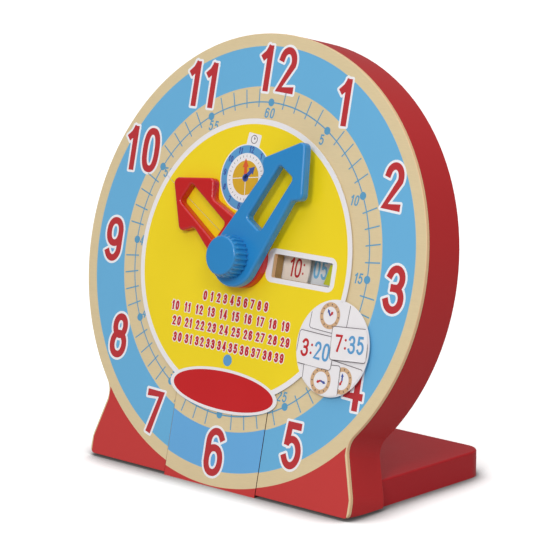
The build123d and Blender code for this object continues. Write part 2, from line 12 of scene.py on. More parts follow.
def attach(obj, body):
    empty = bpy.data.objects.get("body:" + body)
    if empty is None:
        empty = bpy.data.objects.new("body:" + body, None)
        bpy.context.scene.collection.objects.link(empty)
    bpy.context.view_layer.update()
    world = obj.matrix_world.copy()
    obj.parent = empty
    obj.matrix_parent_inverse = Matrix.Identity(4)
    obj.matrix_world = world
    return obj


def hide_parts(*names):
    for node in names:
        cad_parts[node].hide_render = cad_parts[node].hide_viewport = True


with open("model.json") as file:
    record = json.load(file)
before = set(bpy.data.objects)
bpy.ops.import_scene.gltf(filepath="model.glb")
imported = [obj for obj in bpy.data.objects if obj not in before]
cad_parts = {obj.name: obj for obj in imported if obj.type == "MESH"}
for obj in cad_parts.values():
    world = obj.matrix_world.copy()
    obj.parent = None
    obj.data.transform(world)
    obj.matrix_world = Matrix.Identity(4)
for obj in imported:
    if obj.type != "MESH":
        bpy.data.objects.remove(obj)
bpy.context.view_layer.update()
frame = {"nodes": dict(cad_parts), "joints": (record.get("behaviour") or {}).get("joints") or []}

bl_info = {
    "name": "Geared Teaching Clock",
    "version": (1, 0, 0),
    "blender": (4, 5, 0),
    "location": "3D View > Sidebar > Clock",
    "description": "Dresses a wooden teaching clock: paint, print, card, hands and works",
    "category": "Object",
}

# ---- the dial's own frame
MM = 0.001
hub = next(joint for joint in frame["joints"] if joint["name"] == "minute_spin")
CENTRE = np.array(hub["pos_m"])
BACK = np.array(hub["axis"]) / np.linalg.norm(hub["axis"])  # from the face into the clock
RIGHT = np.array([1.0, 0.0, 0.0])
UP = np.cross(RIGHT, BACK)


def on_dial(points, depth):
    """Points (x, z) in millimetres on the dial, as metres in the row frame.

    Each is the hub's centre plus x to the right, z up the dial and depth back into it.
    """
    points = np.asarray(points, float)
    depth = np.broadcast_to(np.asarray(depth, float), len(points))[:, None]
    return CENTRE + MM * (points[:, :1] * RIGHT + points[:, 1:2] * UP + depth * BACK)


def dial_box(node):
    """Lowest and highest (x, depth, z) of a CAD node in the dial's frame, in millimetres."""
    mesh = frame["nodes"][node].data
    flat = np.zeros(len(mesh.vertices) * 3, np.float32)
    mesh.vertices.foreach_get("co", flat)
    away = flat.reshape(-1, 3).astype(float) - CENTRE
    own = np.stack([away @ RIGHT, away @ BACK, away @ UP], -1) / MM
    return own.min(0), own.max(0)


# ---- settings
def amount(name, description, value, unit="NONE", precision=2):
    return FloatProperty(name=name, description=description, default=value, unit=unit,
                         precision=precision)


def length(name, description, millimetres):
    return amount(name, description, millimetres * MM, "LENGTH", 4)


def turn(name, description, degrees):
    return amount(name, description, math.radians(degrees), "ROTATION")


def linear(red, green, blue):
    """A colour of 0 to 255 as a screen shows it, in the linear values that shaders take."""
    shown = np.array([red, green, blue]) / 255
    low = shown <= 0.04045
    return tuple(np.where(low, shown / 12.92, ((shown + 0.055) / 1.055) ** 2.4))


def colour(name, description, red, green, blue):
    return FloatVectorProperty(name=name, description=description, subtype="COLOR", size=3,
                               min=0.0, max=1.0, default=linear(red, green, blue))


class DialSettings(bpy.types.PropertyGroup):
    """Sizes and colours of the wooden dial and what is printed on it."""

    wood: colour("Wood", "Birch plywood of the dial", 224, 203, 160)
    ply: colour("Ply edge", "Middle ply in the plywood's edge", 226, 186, 138)
    edge: colour("Board edge", "Outer plies in the plywood's edge", 236, 196, 150)
    # Painted shade: a dark red band at the back of the plywood's edge stands for the gap between
    # the panel and the body.
    seam: colour("Seam", "Painted shade in the gap behind the plywood", 100, 48, 42)
    # The block's edges are red paint, darkened as painted shade for the narrow gap between the
    # block and the dial.
    block_edge: colour("Block edge", "Red paint on the block's edges, darkened as painted shade for the gap beside them", 74, 22, 22)
    blue: colour("Ring", "Painted ring behind the hour numbers", 104, 178, 222)
    block_blue: colour("Block ring", "The same ring on the block", 102, 172, 225)
    red: colour("Corners", "Painted corners of the foot", 200, 52, 50)
    number: colour("Hour numbers", "Ink of the hour numbers", 190, 46, 52)
    border: colour("Number borders", "Border round the hour numbers", 243, 243, 247)
    minute: colour("Minute track", "Ink of the minute lines and numbers", 90, 158, 198)
    ring_inner: length("Ring inner radius", "Inner radius of the blue ring", 113.8)
    ring_outer: length("Ring outer radius", "Outer radius of the blue ring", 140.5)
    wood_radius: length("Wood radius", "Where the painted corners begin", 149.7)
    wood_shift: length("Wood shift", "The painted corners' circle to the right of the dial's", 1.5)
    block_wood_radius: length("Block wood radius", "Where the block's painted corners begin", 150.6)
    wrap: length("Wrap", "How far the corners' paint runs over the dial's rounded edge", 0.5)
    block_wrap: length("Block wrap", "How far it runs over the block's edge", 0.05)
    bare_margin: length("Bare margin", "Bare wood along the foot's sides", 1.3)
    print_shift: length("Block print shift", "The block's print to the right of the dial's", -3.3)
    print_drop: length("Block print drop", "The block's print below the dial's", 0.6)
    number_height: length("Number height", "Height of an hour number", 30.5)
    number_stroke: length("Number stroke", "Width of a stroke of an hour number", 4.7)
    number_border: length("Number border", "Width of the border of an hour number", 1.6)
    track_radius: length("Track radius", "Radius of the minute line", 103.5)
    track_line: length("Track line", "Width of the minute line and its ticks", 0.85)
    tick_inner: length("Tick start", "Inner radius of a minute tick", 100.2)
    tick_outer: length("Tick end", "Outer radius of a minute tick", 112.4)
    dot_radius: length("Dot radius", "Radius of the dot at every fifth minute", 2.6)
    label_radius: length("Label radius", "Radius of the minute numbers", 96.5)
    label_height: length("Label height", "Height of a minute number", 6.9)


class CardSettings(bpy.types.PropertyGroup):
    """Sizes and colours of the printed card over the dial."""

    paper: colour("Paper", "White coated card", 240, 236, 238)
    field: colour("Field", "Large field round the hub", 246, 217, 22)
    oval: colour("Oval", "Bare oval at the foot of the card", 200, 18, 24)
    ink_red: colour("Red ink", "Number rows and hour digits", 196, 30, 38)
    ink_blue: colour("Blue ink", "Minute digits", 92, 158, 208)
    ink_deep: colour("Deep blue ink", "Small minute hands", 62, 84, 160)
    line: colour("Line ink", "Thin outlines", 84, 72, 78)
    tan: colour("Dial ink", "Rings of the small dials", 212, 172, 132)
    orange: colour("Centre ink", "Centre of the small clock", 219, 170, 38)
    vermilion: colour("Hand ink", "Long hand of the small clock", 222, 92, 44)
    lime: colour("Flap", "Flap that is pushed back from the window", 202, 212, 20)
    border: length("Card border", "White margin of the card", 3.7)
    rim_lift: length("Rim lift", "How far the card's right side stands off the dial", 0.8)
    tab_lift: length("Tab lift", "How far the round tab's far edge stands off the dial", 1.7)


class PlasticSettings(bpy.types.PropertyGroup):
    """Sizes and colours of the moulded pieces."""

    blue: colour("Blue", "Minute hand and knob", 36, 134, 198)
    red: colour("Red", "Hour hand", 198, 14, 16)
    hour_disc: colour("Hour disc", "Disc that carries the hour numbers", 250, 240, 230)
    minute_disc: colour("Minute disc", "Disc that carries the minute numbers", 244, 250, 255)
    minute_print: colour("Minute print", "Ink of the numbers on the minute disc", 128, 200, 244)
    gear: colour("Gears", "Natural acetal", 232, 226, 206)
    bearing: colour("Bearings", "Dark nylon", 52, 52, 56)
    steel: colour("Steel", "Zinc plated screws, clips and axles", 188, 188, 192)
    rib_count: IntProperty(name="Knob ribs", description="Ribs round the knob", default=24)
    rib_height: length("Rib height", "How far a rib stands out from the knob", 1.15)
    knob_edge: length("Knob edge", "Rounding of the knob's front edge", 1.3)


class StandSettings(bpy.types.PropertyGroup):
    """Colours of the painted body and its stand."""

    body_red: colour("Body paint", "Red paint of the body", 184, 44, 46)
    board_red: colour("Stand paint", "Red paint of the base board and block", 176, 26, 34)
    cut_wood: colour("Window cut", "Bare wood inside the window's cut", 172, 141, 90)
    back: colour("Back board", "Bare hardboard of the back panel", 176, 132, 88)
    beech: colour("Dowels", "Bare beech", 208, 172, 120)


class StageSettings(bpy.types.PropertyGroup):
    """The camera, the lights and the floor."""

    azimuth: turn("Camera azimuth", "Turn of the camera to the object's right", 42.69)
    elevation: turn("Camera elevation", "Height of the camera over the horizon", 11.42)
    distance: length("Camera distance", "From the camera to the point it looks at", 1649.5)
    aim_x: length("Aim x", "Point that the camera looks at", 0.3)
    aim_y: length("Aim y", "Point that the camera looks at", -7.4)
    aim_z: length("Aim z", "Point that the camera looks at", 129.2)
    lens: amount("Lens", "Focal length", 159.2, "CAMERA")
    floor: colour("Floor", "Plain pale floor, as the camera sees it", 255, 255, 255)
    bounce: colour("Floor bounce", "The floor's colour in the light it throws back", 190, 190, 190)
    key_power: amount("Key light", "Power of the soft light in front", 13.6, "POWER")
    side_power: amount("Side light", "Power of the light beside the camera", 7.0, "POWER")
    top_strength: amount("Top light", "Strength of the even light from above", 1.65)
    top_spread: turn("Top spread", "Angle that the light from above covers", 80.0)
    floor_glow: amount("Floor glow", "Light of its own on the white floor", 0.3)
    # Painted contact shadow: the floor's colour darkens near the object, found by ambient
    # occlusion.
    contact: length("Contact shade", "How far round the object the floor is shaded", 36.0)
    contact_shade: colour("Painted contact shadow", "Colour of the painted shadow on the floor right at the object", 104, 104, 104)
    sky: amount("Sky", "Strength of the even light all round", 0.28)


# ---- flat drawings
# A drawing is a list of (points, faces): points are (x, z) in millimetres, and faces index them.
def circle(radius, x=0.0, z=0.0, count=96):
    """A ring of points at one radius round a centre."""
    return arc(x, z, radius, radius, 0, 360, count + 1)[:-1]


def arc(x, z, half_width, half_height, start, end, count=18):
    """Points on an ellipse from one angle to another, in degrees counter-clockwise from right."""
    angle = np.radians(np.linspace(start, end, count))
    return np.stack([x + half_width * np.cos(angle), z + half_height * np.sin(angle)], -1)


def oval(half_width, half_height, x=0.0, z=0.0, power=2.0, count=64):
    """A closed superellipse: cosine and sine keep their sign and take the power 2/power."""
    angle = np.radians(np.arange(count) * 360 / count)
    bent = [np.sign(w) * np.abs(w) ** (2 / power) for w in (np.cos(angle), np.sin(angle))]
    return np.stack([x + half_width * bent[0], z + half_height * bent[1]], -1)


def rounded_box(left, right, bottom, top, corner, count=7):
    """The outline of a box whose four corners are quarter circles."""
    quarters = ((right - corner, top - corner, 0), (left + corner, top - corner, 90),
                (left + corner, bottom + corner, 180), (right - corner, bottom + corner, 270))
    return np.concatenate([arc(x, z, corner, corner, a, a + 90, count) for x, z, a in quarters])


def clock_line(angle, *radii):
    """Points at one angle, in degrees clockwise from twelve, and several radii."""
    at = math.radians(angle)
    return np.array([[r * math.sin(at), r * math.cos(at)] for r in radii])


def counter_clockwise(ring):
    """The ring, turned round if its signed area (half the sum of cross products) is negative."""
    ahead = np.roll(ring, -1, 0)
    area = np.sum(ring[:, 0] * ahead[:, 1] - ahead[:, 0] * ring[:, 1])
    return ring if area > 0 else ring[::-1]


SAME_POINT = 1e-5  # millimetres: points that are closer become one
MITRE_LIMIT, SHARPEST = 1.35, 0.3
BORDER_WAYS, MORE_WAYS = 8, 7.5  # a border's directions, and how many more for each millimetre


def sheet(shapes, holes=(), spacing=0.0):
    """A flat mesh that covers every shape and none of the holes, with a grid inside if asked.

    The rings are put into one Delaunay triangulation, and a triangle stays if some shape and
    no hole holds it.
    """
    rings = [counter_clockwise(np.asarray(ring)) for ring in (*shapes, *holes)]
    ends = np.cumsum([0] + [len(ring) for ring in rings])
    faces = [list(range(a, b)) for a, b in zip(ends[:-1], ends[1:])]
    points = np.concatenate(rings)
    if spacing:
        low, high = points.min(0), points.max(0)
        steps = [np.arange(low[i] + spacing / 2, high[i], spacing) for i in (0, 1)]
        points = np.concatenate([points, np.stack(np.meshgrid(*steps), -1).reshape(-1, 2)])
    made = delaunay_2d_cdt([Vector(p) for p in points], [], faces, 0, SAME_POINT)
    last = len(shapes)
    kept = [face for face, held_by in zip(made[2], made[5]) if held_by and max(held_by) < last]
    used, order = np.unique(np.array(kept), return_inverse=True)
    corners = np.array([tuple(p) for p in made[0]])[used]
    return [(corners, order.reshape(-1, 3))]


def ribbon(path, width, closed=False, stretch=0.0):
    """The quads of a stroke: each point of the path moves half the width to both sides.

    It moves along the mitre of its two neighbours, which is the sum of their unit normals over
    one plus their dot product, and is kept shorter than a limit. Open ends are stretched. In a
    bend tighter than the stroke, a side that would run backwards shrinks to the middle of its
    two points.
    """
    path = np.array(path, float)
    if closed:
        path = np.concatenate([path[-1:], path, path[:2]])
    steps = np.diff(path, axis=0)
    steps /= np.linalg.norm(steps, axis=1)[:, None]
    if not closed:
        path[0] -= stretch * steps[0]
        path[-1] += stretch * steps[-1]
    normals = np.stack([-steps[:, 1], steps[:, 0]], -1)
    before, after = np.concatenate([normals[:1], normals]), np.concatenate([normals, normals[-1:]])
    mitre = (before + after) / np.maximum(1 + np.sum(before * after, 1), SHARPEST)[:, None]
    size = np.linalg.norm(mitre, axis=1)
    mitre *= (np.minimum(size, MITRE_LIMIT) / size)[:, None]
    sides = []
    for side in (1, -1):
        edge = path + side * mitre * width / 2
        start, end = edge[:-1], edge[1:]
        backwards = np.sum((end - start) * steps, 1)[:, None] <= 0
        middle = (start + end) / 2
        sides.append((np.where(backwards, middle, start), np.where(backwards, middle, end)))
    quads = np.stack([sides[1][0], sides[1][1], sides[0][1], sides[0][0]], 1)
    return list(quads[1:-1] if closed else quads)


def grown(quads, by):
    """The quads, each with a round border: in each direction, the corner that lies farthest
    that way moves out by the border's width. A wider border has more directions."""
    if by == 0:
        return quads
    count = BORDER_WAYS + round(MORE_WAYS * by)
    angle = np.arange(count) * 2 * np.pi / count
    ways = np.stack([np.cos(angle), np.sin(angle)], -1)
    corners = np.stack(quads)
    farthest = np.argmax(corners @ ways.T, axis=1)
    return list(np.take_along_axis(corners, farthest[:, :, None], 1) + by * ways)


def moved_points(points, x=0.0, z=0.0, clockwise=0.0, slant=0.0, squeeze=1.0):
    """Points made narrower and slanted, then turned clockwise by degrees, then shifted."""
    c, s = math.cos(math.radians(clockwise)), math.sin(math.radians(clockwise))
    matrix = np.array([[c, s], [-s, c]]) @ np.array([[squeeze, slant], [0, 1]])
    return points @ matrix.T + (x, z)


def moved(drawing, *place, **bends):
    """A drawing whose points are all moved in the same way."""
    return [(moved_points(points, *place, **bends), faces) for points, faces in drawing]


# ---- numbers drawn with strokes
def digit_strokes(detail):
    """Every digit's strokes, each its path in a box of 0 to 1 both ways and whether it's closed.

    detail scales how many points a bend has.
    """
    def bow(x, z, half_width, half_height, start, end, count=18):
        return arc(x, z, half_width, half_height, start, end, round(detail * count))

    def loop(half_width, half_height, x, z, power, count):
        return oval(half_width, half_height, x, z, power, round(detail * count)), True

    def joined(*parts):
        return np.concatenate(parts), False

    def line(*points):
        return np.array(points), False

    six = [joined(bow(0.5, 0.73, 0.5, 0.27, 32, 180), [(0, 0.3)]),
           loop(0.5, 0.3, 0.5, 0.3, 2.2, 36)]
    return {
        "0": [loop(0.5, 0.5, 0.5, 0.5, 2.5, 40)],
        "1": [line((0, 0.8), (0.3, 0.88), (0.5, 0.99)), line((0.58, 1), (0.58, 0))],
        "2": [joined(bow(0.5, 0.73, 0.48, 0.27, 165, -22), [(0.04, 0), (1, 0)])],
        "3": [joined(bow(0.46, 0.76, 0.46, 0.24, 160, -80), [(0.36, 0.53)]),
              joined([(0.36, 0.53)], bow(0.46, 0.27, 0.54, 0.27, 80, -160, 24))],
        "4": [line((0.68, 1), (0, 0.27), (1, 0.27)), line((0.74, 1), (0.74, 0))],
        "5": [line((0.8, 1), (0.14, 1), (0.06, 0.58)),
              (bow(0.46, 0.33, 0.54, 0.33, 126, -150, 26), False)],
        "6": six,
        "7": [line((0, 1), (0.97, 1), (0.3, 0.05))],
        "8": [loop(0.42, 0.24, 0.5, 0.76, 2.1, 32), loop(0.5, 0.28, 0.5, 0.28, 2.1, 36)],
        "9": [(1 - path, closed) for path, closed in six],
    }


DIGITS = digit_strokes(1.0)
SMALL_DIGITS = digit_strokes(0.5)
SMALL_HEIGHT = 10.0  # digits up to this height have fewer points
DIGIT_WIDTH = 0.52  # a digit's width as a part of its height
ONE_SHARE = 0.6  # how wide a 1 is beside the other digits
DIGIT_GAP = 0.2  # free width between digits as a part of their height
LABEL_GAP, CLOSE_GAP, TIGHT_GAP, MINUTE_GAP = 0.16, 0.14, 0.12, 0.1
LABEL_STROKE, LABEL_SLANT = 0.15, 0.12  # of the minute numbers, as parts of their height
COLON_WIDTH, COLON_RISE = 0.12, 0.26


@functools.lru_cache(maxsize=None)
def digit(character, height, stroke, border):
    """One digit's drawing, its left edge at 0 and its middle at height 0, and its width."""
    tall = height - stroke
    if character == ":":
        across = max(COLON_WIDTH * height, stroke)
        dots = [circle(across / 2 + border, across / 2, z * tall, 16)
                for z in (-COLON_RISE, COLON_RISE)]
        return sheet(dots), across
    strokes = (DIGITS if height > SMALL_HEIGHT else SMALL_DIGITS)[character]
    share = ONE_SHARE if character == "1" else 1.0
    across = share * DIGIT_WIDTH * height - stroke
    quads = []
    for path, closed in strokes:
        placed = path / (share, 1.0) * (across, tall) + (stroke / 2, -tall / 2)
        quads += ribbon(placed, stroke, closed, stroke / 2)
    return sheet(grown(quads, border)), across + stroke


def number(text, height, stroke, border=0.0, gap=DIGIT_GAP):
    """Digits side by side, centred on 0."""
    made, at = [], 0.0
    for character in text:
        drawing, width = digit(character, height, stroke, border)
        made += moved(drawing, at)
        at += width + gap * height
    return moved(made, -(at - gap * height) / 2)


# ---- pieces
INK = 0.04  # millimetres: one printed layer


def place_object(name, data):
    """A new object in the scene, at the origin."""
    made = bpy.data.objects.new(name, data)
    bpy.context.scene.collection.objects.link(made)
    return made


def add_piece(name, points, faces, material, body, slot):
    """A mesh object at the origin from points in the row frame, riding on a body."""
    mesh = bpy.data.meshes.new(name)
    mesh.from_pydata(points.tolist(), [], [list(face) for face in faces])
    mesh.update()
    mesh.materials.append(material)
    piece = place_object(name, mesh)
    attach(piece, body)
    return piece


def thicken(piece, thickness):
    """Gives a flat piece a thickness in millimetres, towards its back."""
    shell = piece.modifiers.new("thickness", "SOLIDIFY")
    shell.thickness = thickness * MM
    shell.offset = -1.0


def print_layer(name, drawing, ground, level, material, lift=None, thickness=INK):
    """A thin closed layer: its back lies level - 1 layers of ink in front of the ground.

    A ground is a depth, a body and a slot. lift gives how far each point stands off further.
    """
    depth, body, slot = ground
    counts = np.cumsum([0] + [len(points) for points, _ in drawing])
    points = np.concatenate([points for points, _ in drawing])
    faces = np.concatenate([faces + start for (_, faces), start in zip(drawing, counts)])
    front = depth - (level - 1) * INK - thickness
    if lift is not None:
        front = front - lift(points)
    piece = add_piece(name, on_dial(points, front), faces, material, body, slot)
    thicken(piece, thickness)
    return piece


def grid_faces(rows, columns, closed):
    """Quads of a grid of points; in a closed one the last column is joined to the first."""
    steps = (np.arange(rows - 1), np.arange(columns if closed else columns - 1))
    row, column = np.meshgrid(*steps, indexing="ij")
    ahead = (column + 1) % columns
    corners = [row * columns + column, (row + 1) * columns + column,
               (row + 1) * columns + ahead, row * columns + ahead]
    return np.stack(corners, -1).reshape(-1, 4)


# ---- shader nodes
WHITE = (1.0, 1.0, 1.0)
BLACK = (0.0, 0.0, 0.0)


class Signal:
    """A number, colour or vector that a shader node gives; arithmetic on it adds math nodes."""

    def __init__(self, tree, socket):
        self.tree = tree
        self.socket = socket

    def math(self, operation, *others):
        inputs = dict(enumerate((self, *others)))
        return add_node(self.tree, "Math", inputs, operation=operation)

    def __add__(self, other):
        return self.math("ADD", other)

    def __sub__(self, other):
        return self.math("SUBTRACT", other)

    def __mul__(self, other):
        return self.math("MULTIPLY", other)

    def __gt__(self, other):
        return self.math("GREATER_THAN", other)

    def __lt__(self, other):
        return self.math("LESS_THAN", other)

    def __abs__(self):
        return self.math("ABSOLUTE")


def feed(sockets, values):
    """Sets sockets to values, or links them to signals. Colours are made opaque."""
    for name, value in values.items():
        if isinstance(value, Signal):
            value.tree.links.new(value.socket, sockets[name])
        elif sockets[name].type == "RGBA":
            sockets[name].default_value = (*value, 1.0)
        else:
            sockets[name].default_value = value


def add_node(tree, kind, inputs, output=0, **settings):
    """What a new shader node gives."""
    made = tree.nodes.new("ShaderNode" + kind)
    for name, value in settings.items():
        setattr(made, name, value)
    feed(made.inputs, inputs)
    return Signal(tree, made.outputs[output])


def mix(factor, first, second):
    """The first colour where the factor is 0, and the second where it is 1."""
    return add_node(factor.tree, "Mix", {0: factor, 6: first, 7: second}, 2, data_type="RGBA")


def noise(vector, scale, detail=4.0, roughness=0.55):
    return add_node(vector.tree, "TexNoise", {"Vector": vector, "Scale": scale, "Detail": detail,
                                              "Roughness": roughness}, "Fac")


def tinted(tint, value):
    """A colour made lighter or darker by a value."""
    return add_node(tint.tree, "HueSaturation", {"Color": tint, "Value": value})


def stretched(vector, by):
    return add_node(vector.tree, "VectorMath", {0: vector, 1: by}, operation="MULTIPLY")


def dial_distance(vector, way):
    """How far a point lies from the hub's centre along one axis of the dial's frame."""
    along = add_node(vector.tree, "VectorMath", {0: vector, 1: way}, "Value",
                     operation="DOT_PRODUCT")
    return along - float(CENTRE @ way)


def group_tree(name, inputs, outputs):
    """A shader node group, the signals that it is given and the sockets of its outputs.

    A socket called Vector is a vector, one called Color is a colour, the others are numbers.
    """
    tree = bpy.data.node_groups.new(name, "ShaderNodeTree")
    kinds = {"Vector": "NodeSocketVector", "Color": "NodeSocketColor"}
    for way, sockets in (("INPUT", inputs), ("OUTPUT", outputs)):
        for socket in sockets:
            tree.interface.new_socket(name=socket, in_out=way,
                                      socket_type=kinds.get(socket, "NodeSocketFloat"))
    given = tree.nodes.new("NodeGroupInput").outputs
    signals = {socket: Signal(tree, given[socket]) for socket in inputs}
    return tree, signals, tree.nodes.new("NodeGroupOutput").inputs


def use_group(group, place, **values):
    """What a group gives in a material, from Object coordinates and its own values."""
    node = place.tree.nodes.new("ShaderNodeGroup")
    node.node_tree = group
    feed(node.inputs, {"Vector": place, **values})
    return {socket.name: Signal(place.tree, socket) for socket in node.outputs}


# ---- shader groups
NOISE_SWING = 4.0  # widens a noise that stays near its middle
PATCH_SHARE = 0.75  # how much of a mottle is its large patches
GRAIN_STRETCH, GRAIN_SCALE = (0.06, 1.0, 1.0), 140.0
PORE_STRETCH, PORE_SCALE = (0.12, 1.0, 1.0), 1500.0
CLOUD_SCALE = 28.0
# The foot's sides in the dial's frame, in millimetres.
FOOT_SIDE, WAIST_SIDE = 117.7, 108.9
FOOT_KNEE, FOOT_LEAN = -138.2, 0.3246
FACE_SKIN = 0.05  # what lies deeper is the board's edge
PLY_MIDDLE, PLY_HALF = 1.6, 0.45  # depth of the middle ply's middle, and half its thickness
GAP_SHADE_DEPTH = 2.75  # painted shade for the gap between the panel and the body starts this far back


@functools.lru_cache(maxsize=None)
def mottle_group():
    """Colour and roughness that wander a little, and a fine height: paint, ink and plastic."""
    tree, given, made = group_tree(
        "Mottle", ("Vector", "Color", "Patches", "Strength", "Grain", "Roughness", "Spread"),
        ("Color", "Roughness", "Height"))
    grain = noise(given["Vector"], given["Grain"], 2.0)
    patches = noise(given["Vector"], given["Patches"])
    wander = patches * PATCH_SHARE + grain * (1 - PATCH_SHARE) - 0.5
    value = wander * (given["Strength"] * NOISE_SWING) + 1.0
    feed(made, {"Color": tinted(given["Color"], value), "Height": grain,
                "Roughness": wander * (given["Spread"] * NOISE_SWING) + given["Roughness"]})
    return tree


@functools.lru_cache(maxsize=None)
def grain_group():
    """Wood grain: noise drawn out along the dial's width, darker streaks and fine pores."""
    tree, given, made = group_tree("Wood grain", ("Vector", "Color", "Streaks", "Pores"),
                                   ("Color", "Height"))
    streaks = noise(stretched(given["Vector"], GRAIN_STRETCH), GRAIN_SCALE, 5.0, 0.6)
    clouds = noise(given["Vector"], CLOUD_SCALE, 3.0)
    pores = noise(stretched(given["Vector"], PORE_STRETCH), PORE_SCALE, 2.0)
    slow = (clouds * 0.5 + streaks * 0.5 - 0.5) * (given["Streaks"] * NOISE_SWING)
    value = slow + (pores - 0.5) * given["Pores"] + 1.0
    feed(made, {"Color": tinted(given["Color"], value), "Height": pores})
    return tree


@functools.lru_cache(maxsize=None)
def dial_paint_group():
    """Masks of the printed face: the blue ring, the red outside the wood, the edge's plies, and the
    gap's painted shade.

    x and z along the dial, shifted, give a radius. The ring is on the face alone. The red
    keeps a margin from the foot's sides, which stand upright below the knee, lean in above
    it and end at the waist, and it runs over the edge as far as Wrap. The wood's radius grows
    with x by the slope, which is close to a circle that is shifted to the right.
    """
    tree, given, made = group_tree(
        "Dial paint", ("Vector", "Shift", "Drop", "Depth", "Inner", "Outer", "Wood", "Margin",
                       "Slope", "Wrap"), ("Ring", "Corners", "Plies", "Face", "Seam"))
    x = dial_distance(given["Vector"], RIGHT) - given["Shift"]
    z = dial_distance(given["Vector"], UP) + given["Drop"]
    depth = dial_distance(given["Vector"], BACK) - given["Depth"]
    radius = (x * x + z * z).math("SQRT")
    face = depth < FACE_SKIN * MM
    side = (z - FOOT_KNEE * MM) * -FOOT_LEAN + FOOT_SIDE * MM
    side = side.math("MINIMUM", FOOT_SIDE * MM).math("MAXIMUM", WAIST_SIDE * MM)
    beyond = (radius > x * given["Slope"] + given["Wood"]) * (z < 0.0)
    painted = (abs(x) < side - given["Margin"]) * (depth < given["Wrap"])
    feed(made, {"Ring": (radius > given["Inner"]) * (radius < given["Outer"]) * face,
                "Corners": beyond * painted, "Face": face,
                "Plies": abs(depth - PLY_MIDDLE * MM) < PLY_HALF * MM,
                "Seam": depth > GAP_SHADE_DEPTH * MM})
    return tree


@functools.lru_cache(maxsize=None)
def window_cut_group():
    """Mask of the body's own window cut: 1 in a box in the dial's frame, where no paint went."""
    tree, given, made = group_tree(
        "Window cut", ("Vector", "Left", "Right", "Height", "Depth"), ("Cut",))
    x, depth, z = (dial_distance(given["Vector"], way) for way in (RIGHT, BACK, UP))
    inside = (abs(z) < given["Height"]) * (depth < given["Depth"])
    feed(made, {"Cut": (x > given["Left"]) * (x < given["Right"]) * inside})
    return tree


# ---- materials
PAINT = {"patches": 11.0, "strength": 0.02, "grain": 520.0, "roughness": 0.42, "spread": 0.05}
GLOSS = {"patches": 24.0, "strength": 0.012, "grain": 600.0, "roughness": 0.3, "spread": 0.03,
         "relief": 0.01, "coat": 0.25, "coat_roughness": 0.12}
SATIN = {"patches": 20.0, "strength": 0.01, "grain": 700.0, "roughness": 0.45, "relief": 0.01}
PAINT_RELIEF, WOOD_RELIEF, PRINT_RELIEF = 0.03, 0.05, 0.015


def shader(name, coat=0.0, coat_roughness=0.1, metallic=0.0, specular=0.5):
    """A material, its Principled shader's sockets and Object coordinates."""
    material = bpy.data.materials.new(name)
    material.use_nodes = True
    surface = material.node_tree.nodes["Principled BSDF"].inputs
    feed(surface, {"Metallic": metallic, "Coat Weight": coat, "Coat Roughness": coat_roughness,
                   "Specular IOR Level": specular})
    return material, surface, add_node(material.node_tree, "TexCoord", {}, "Object")


def finish_surface(surface, tint, roughness, height, relief):
    """Feeds a colour, a roughness and a height, whose bumps stand up by relief millimetres."""
    normal = add_node(height.tree, "Bump", {"Distance": relief * MM, "Height": height}, "Normal")
    feed(surface, {"Base Color": tint, "Roughness": roughness, "Normal": normal})


def mottled(place, tint, patches=14.0, strength=0.03, grain=900.0, roughness=0.4, spread=0.05):
    return use_group(mottle_group(), place, Color=tint, Patches=patches, Strength=strength,
                     Grain=grain, Roughness=roughness, Spread=spread)


@functools.lru_cache(maxsize=None)
def coated(name, tint, relief=0.02, coat=0.0, coat_roughness=0.1, metallic=0.0, specular=0.5,
           **wander):
    """Paint, ink, plastic or plated metal: one colour that wanders a little."""
    material, surface, place = shader(name, coat, coat_roughness, metallic, specular)
    mottle = mottled(place, tint, **wander)
    finish_surface(surface, mottle["Color"], mottle["Roughness"], mottle["Height"], relief)
    return material


def ink(name, tint):
    return coated(name, tuple(tint), patches=30.0, strength=0.02, grain=1800.0, roughness=0.38,
                  relief=0.004)


def bare_wood(name, tint, streaks, pores, roughness=0.55):
    """Wood with its grain along the dial's width."""
    material, surface, place = shader(name)
    grain = use_group(grain_group(), place, Color=tint, Streaks=streaks, Pores=pores)
    finish_surface(surface, grain["Color"], roughness, grain["Height"], WOOD_RELIEF)
    return material


def dial_board(name, s, blue, wood, shift, drop, face_depth, plies):
    """Plywood whose face has the painted ring and corners, and whose edge shows its plies.

    wood is the radius where the painted corners begin, their circle's shift, and how far the
    paint runs over the edge. plies are the colours of the outer plies and of the middle one.
    """
    wood_radius, wood_shift, wrap = wood
    material, surface, place = shader(name, coat=0.12, coat_roughness=0.3)
    grain = use_group(grain_group(), place, Color=s.wood, Streaks=0.035, Pores=0.10)
    paint = use_group(dial_paint_group(), place, Shift=shift, Drop=drop, Depth=face_depth,
                      Inner=s.ring_inner, Outer=s.ring_outer, Wood=wood_radius,
                      Margin=s.bare_margin, Slope=wood_shift / wood_radius, Wrap=wrap)
    mottle = mottled(place, blue, strength=0.015, roughness=0.42, spread=0.03)
    # Painted shade: the back of the edge turns dark red for the gap between the panel and the body.
    edge = mix(paint["Seam"], mix(paint["Plies"], *plies), s.seam)
    ringed = mix(paint["Ring"], mix(paint["Face"], edge, grain["Color"]), mottle["Color"])
    finish_surface(surface, mix(paint["Corners"], ringed, s.red), mottle["Roughness"],
                   grain["Height"], PRINT_RELIEF)
    return material


def body_paint(name, tint, bare, **cut_box):
    """Red paint all over, but bare wood inside the window's cut."""
    material, surface, place = shader(name, specular=0.15)
    paint = mottled(place, tint, **PAINT)
    grain = use_group(grain_group(), place, Color=bare, Streaks=0.15, Pores=0.2)
    cut = use_group(window_cut_group(), place, **cut_box)
    finish_surface(surface, mix(cut["Cut"], paint["Color"], grain["Color"]),
                   paint["Roughness"], paint["Height"], PAINT_RELIEF)
    return material


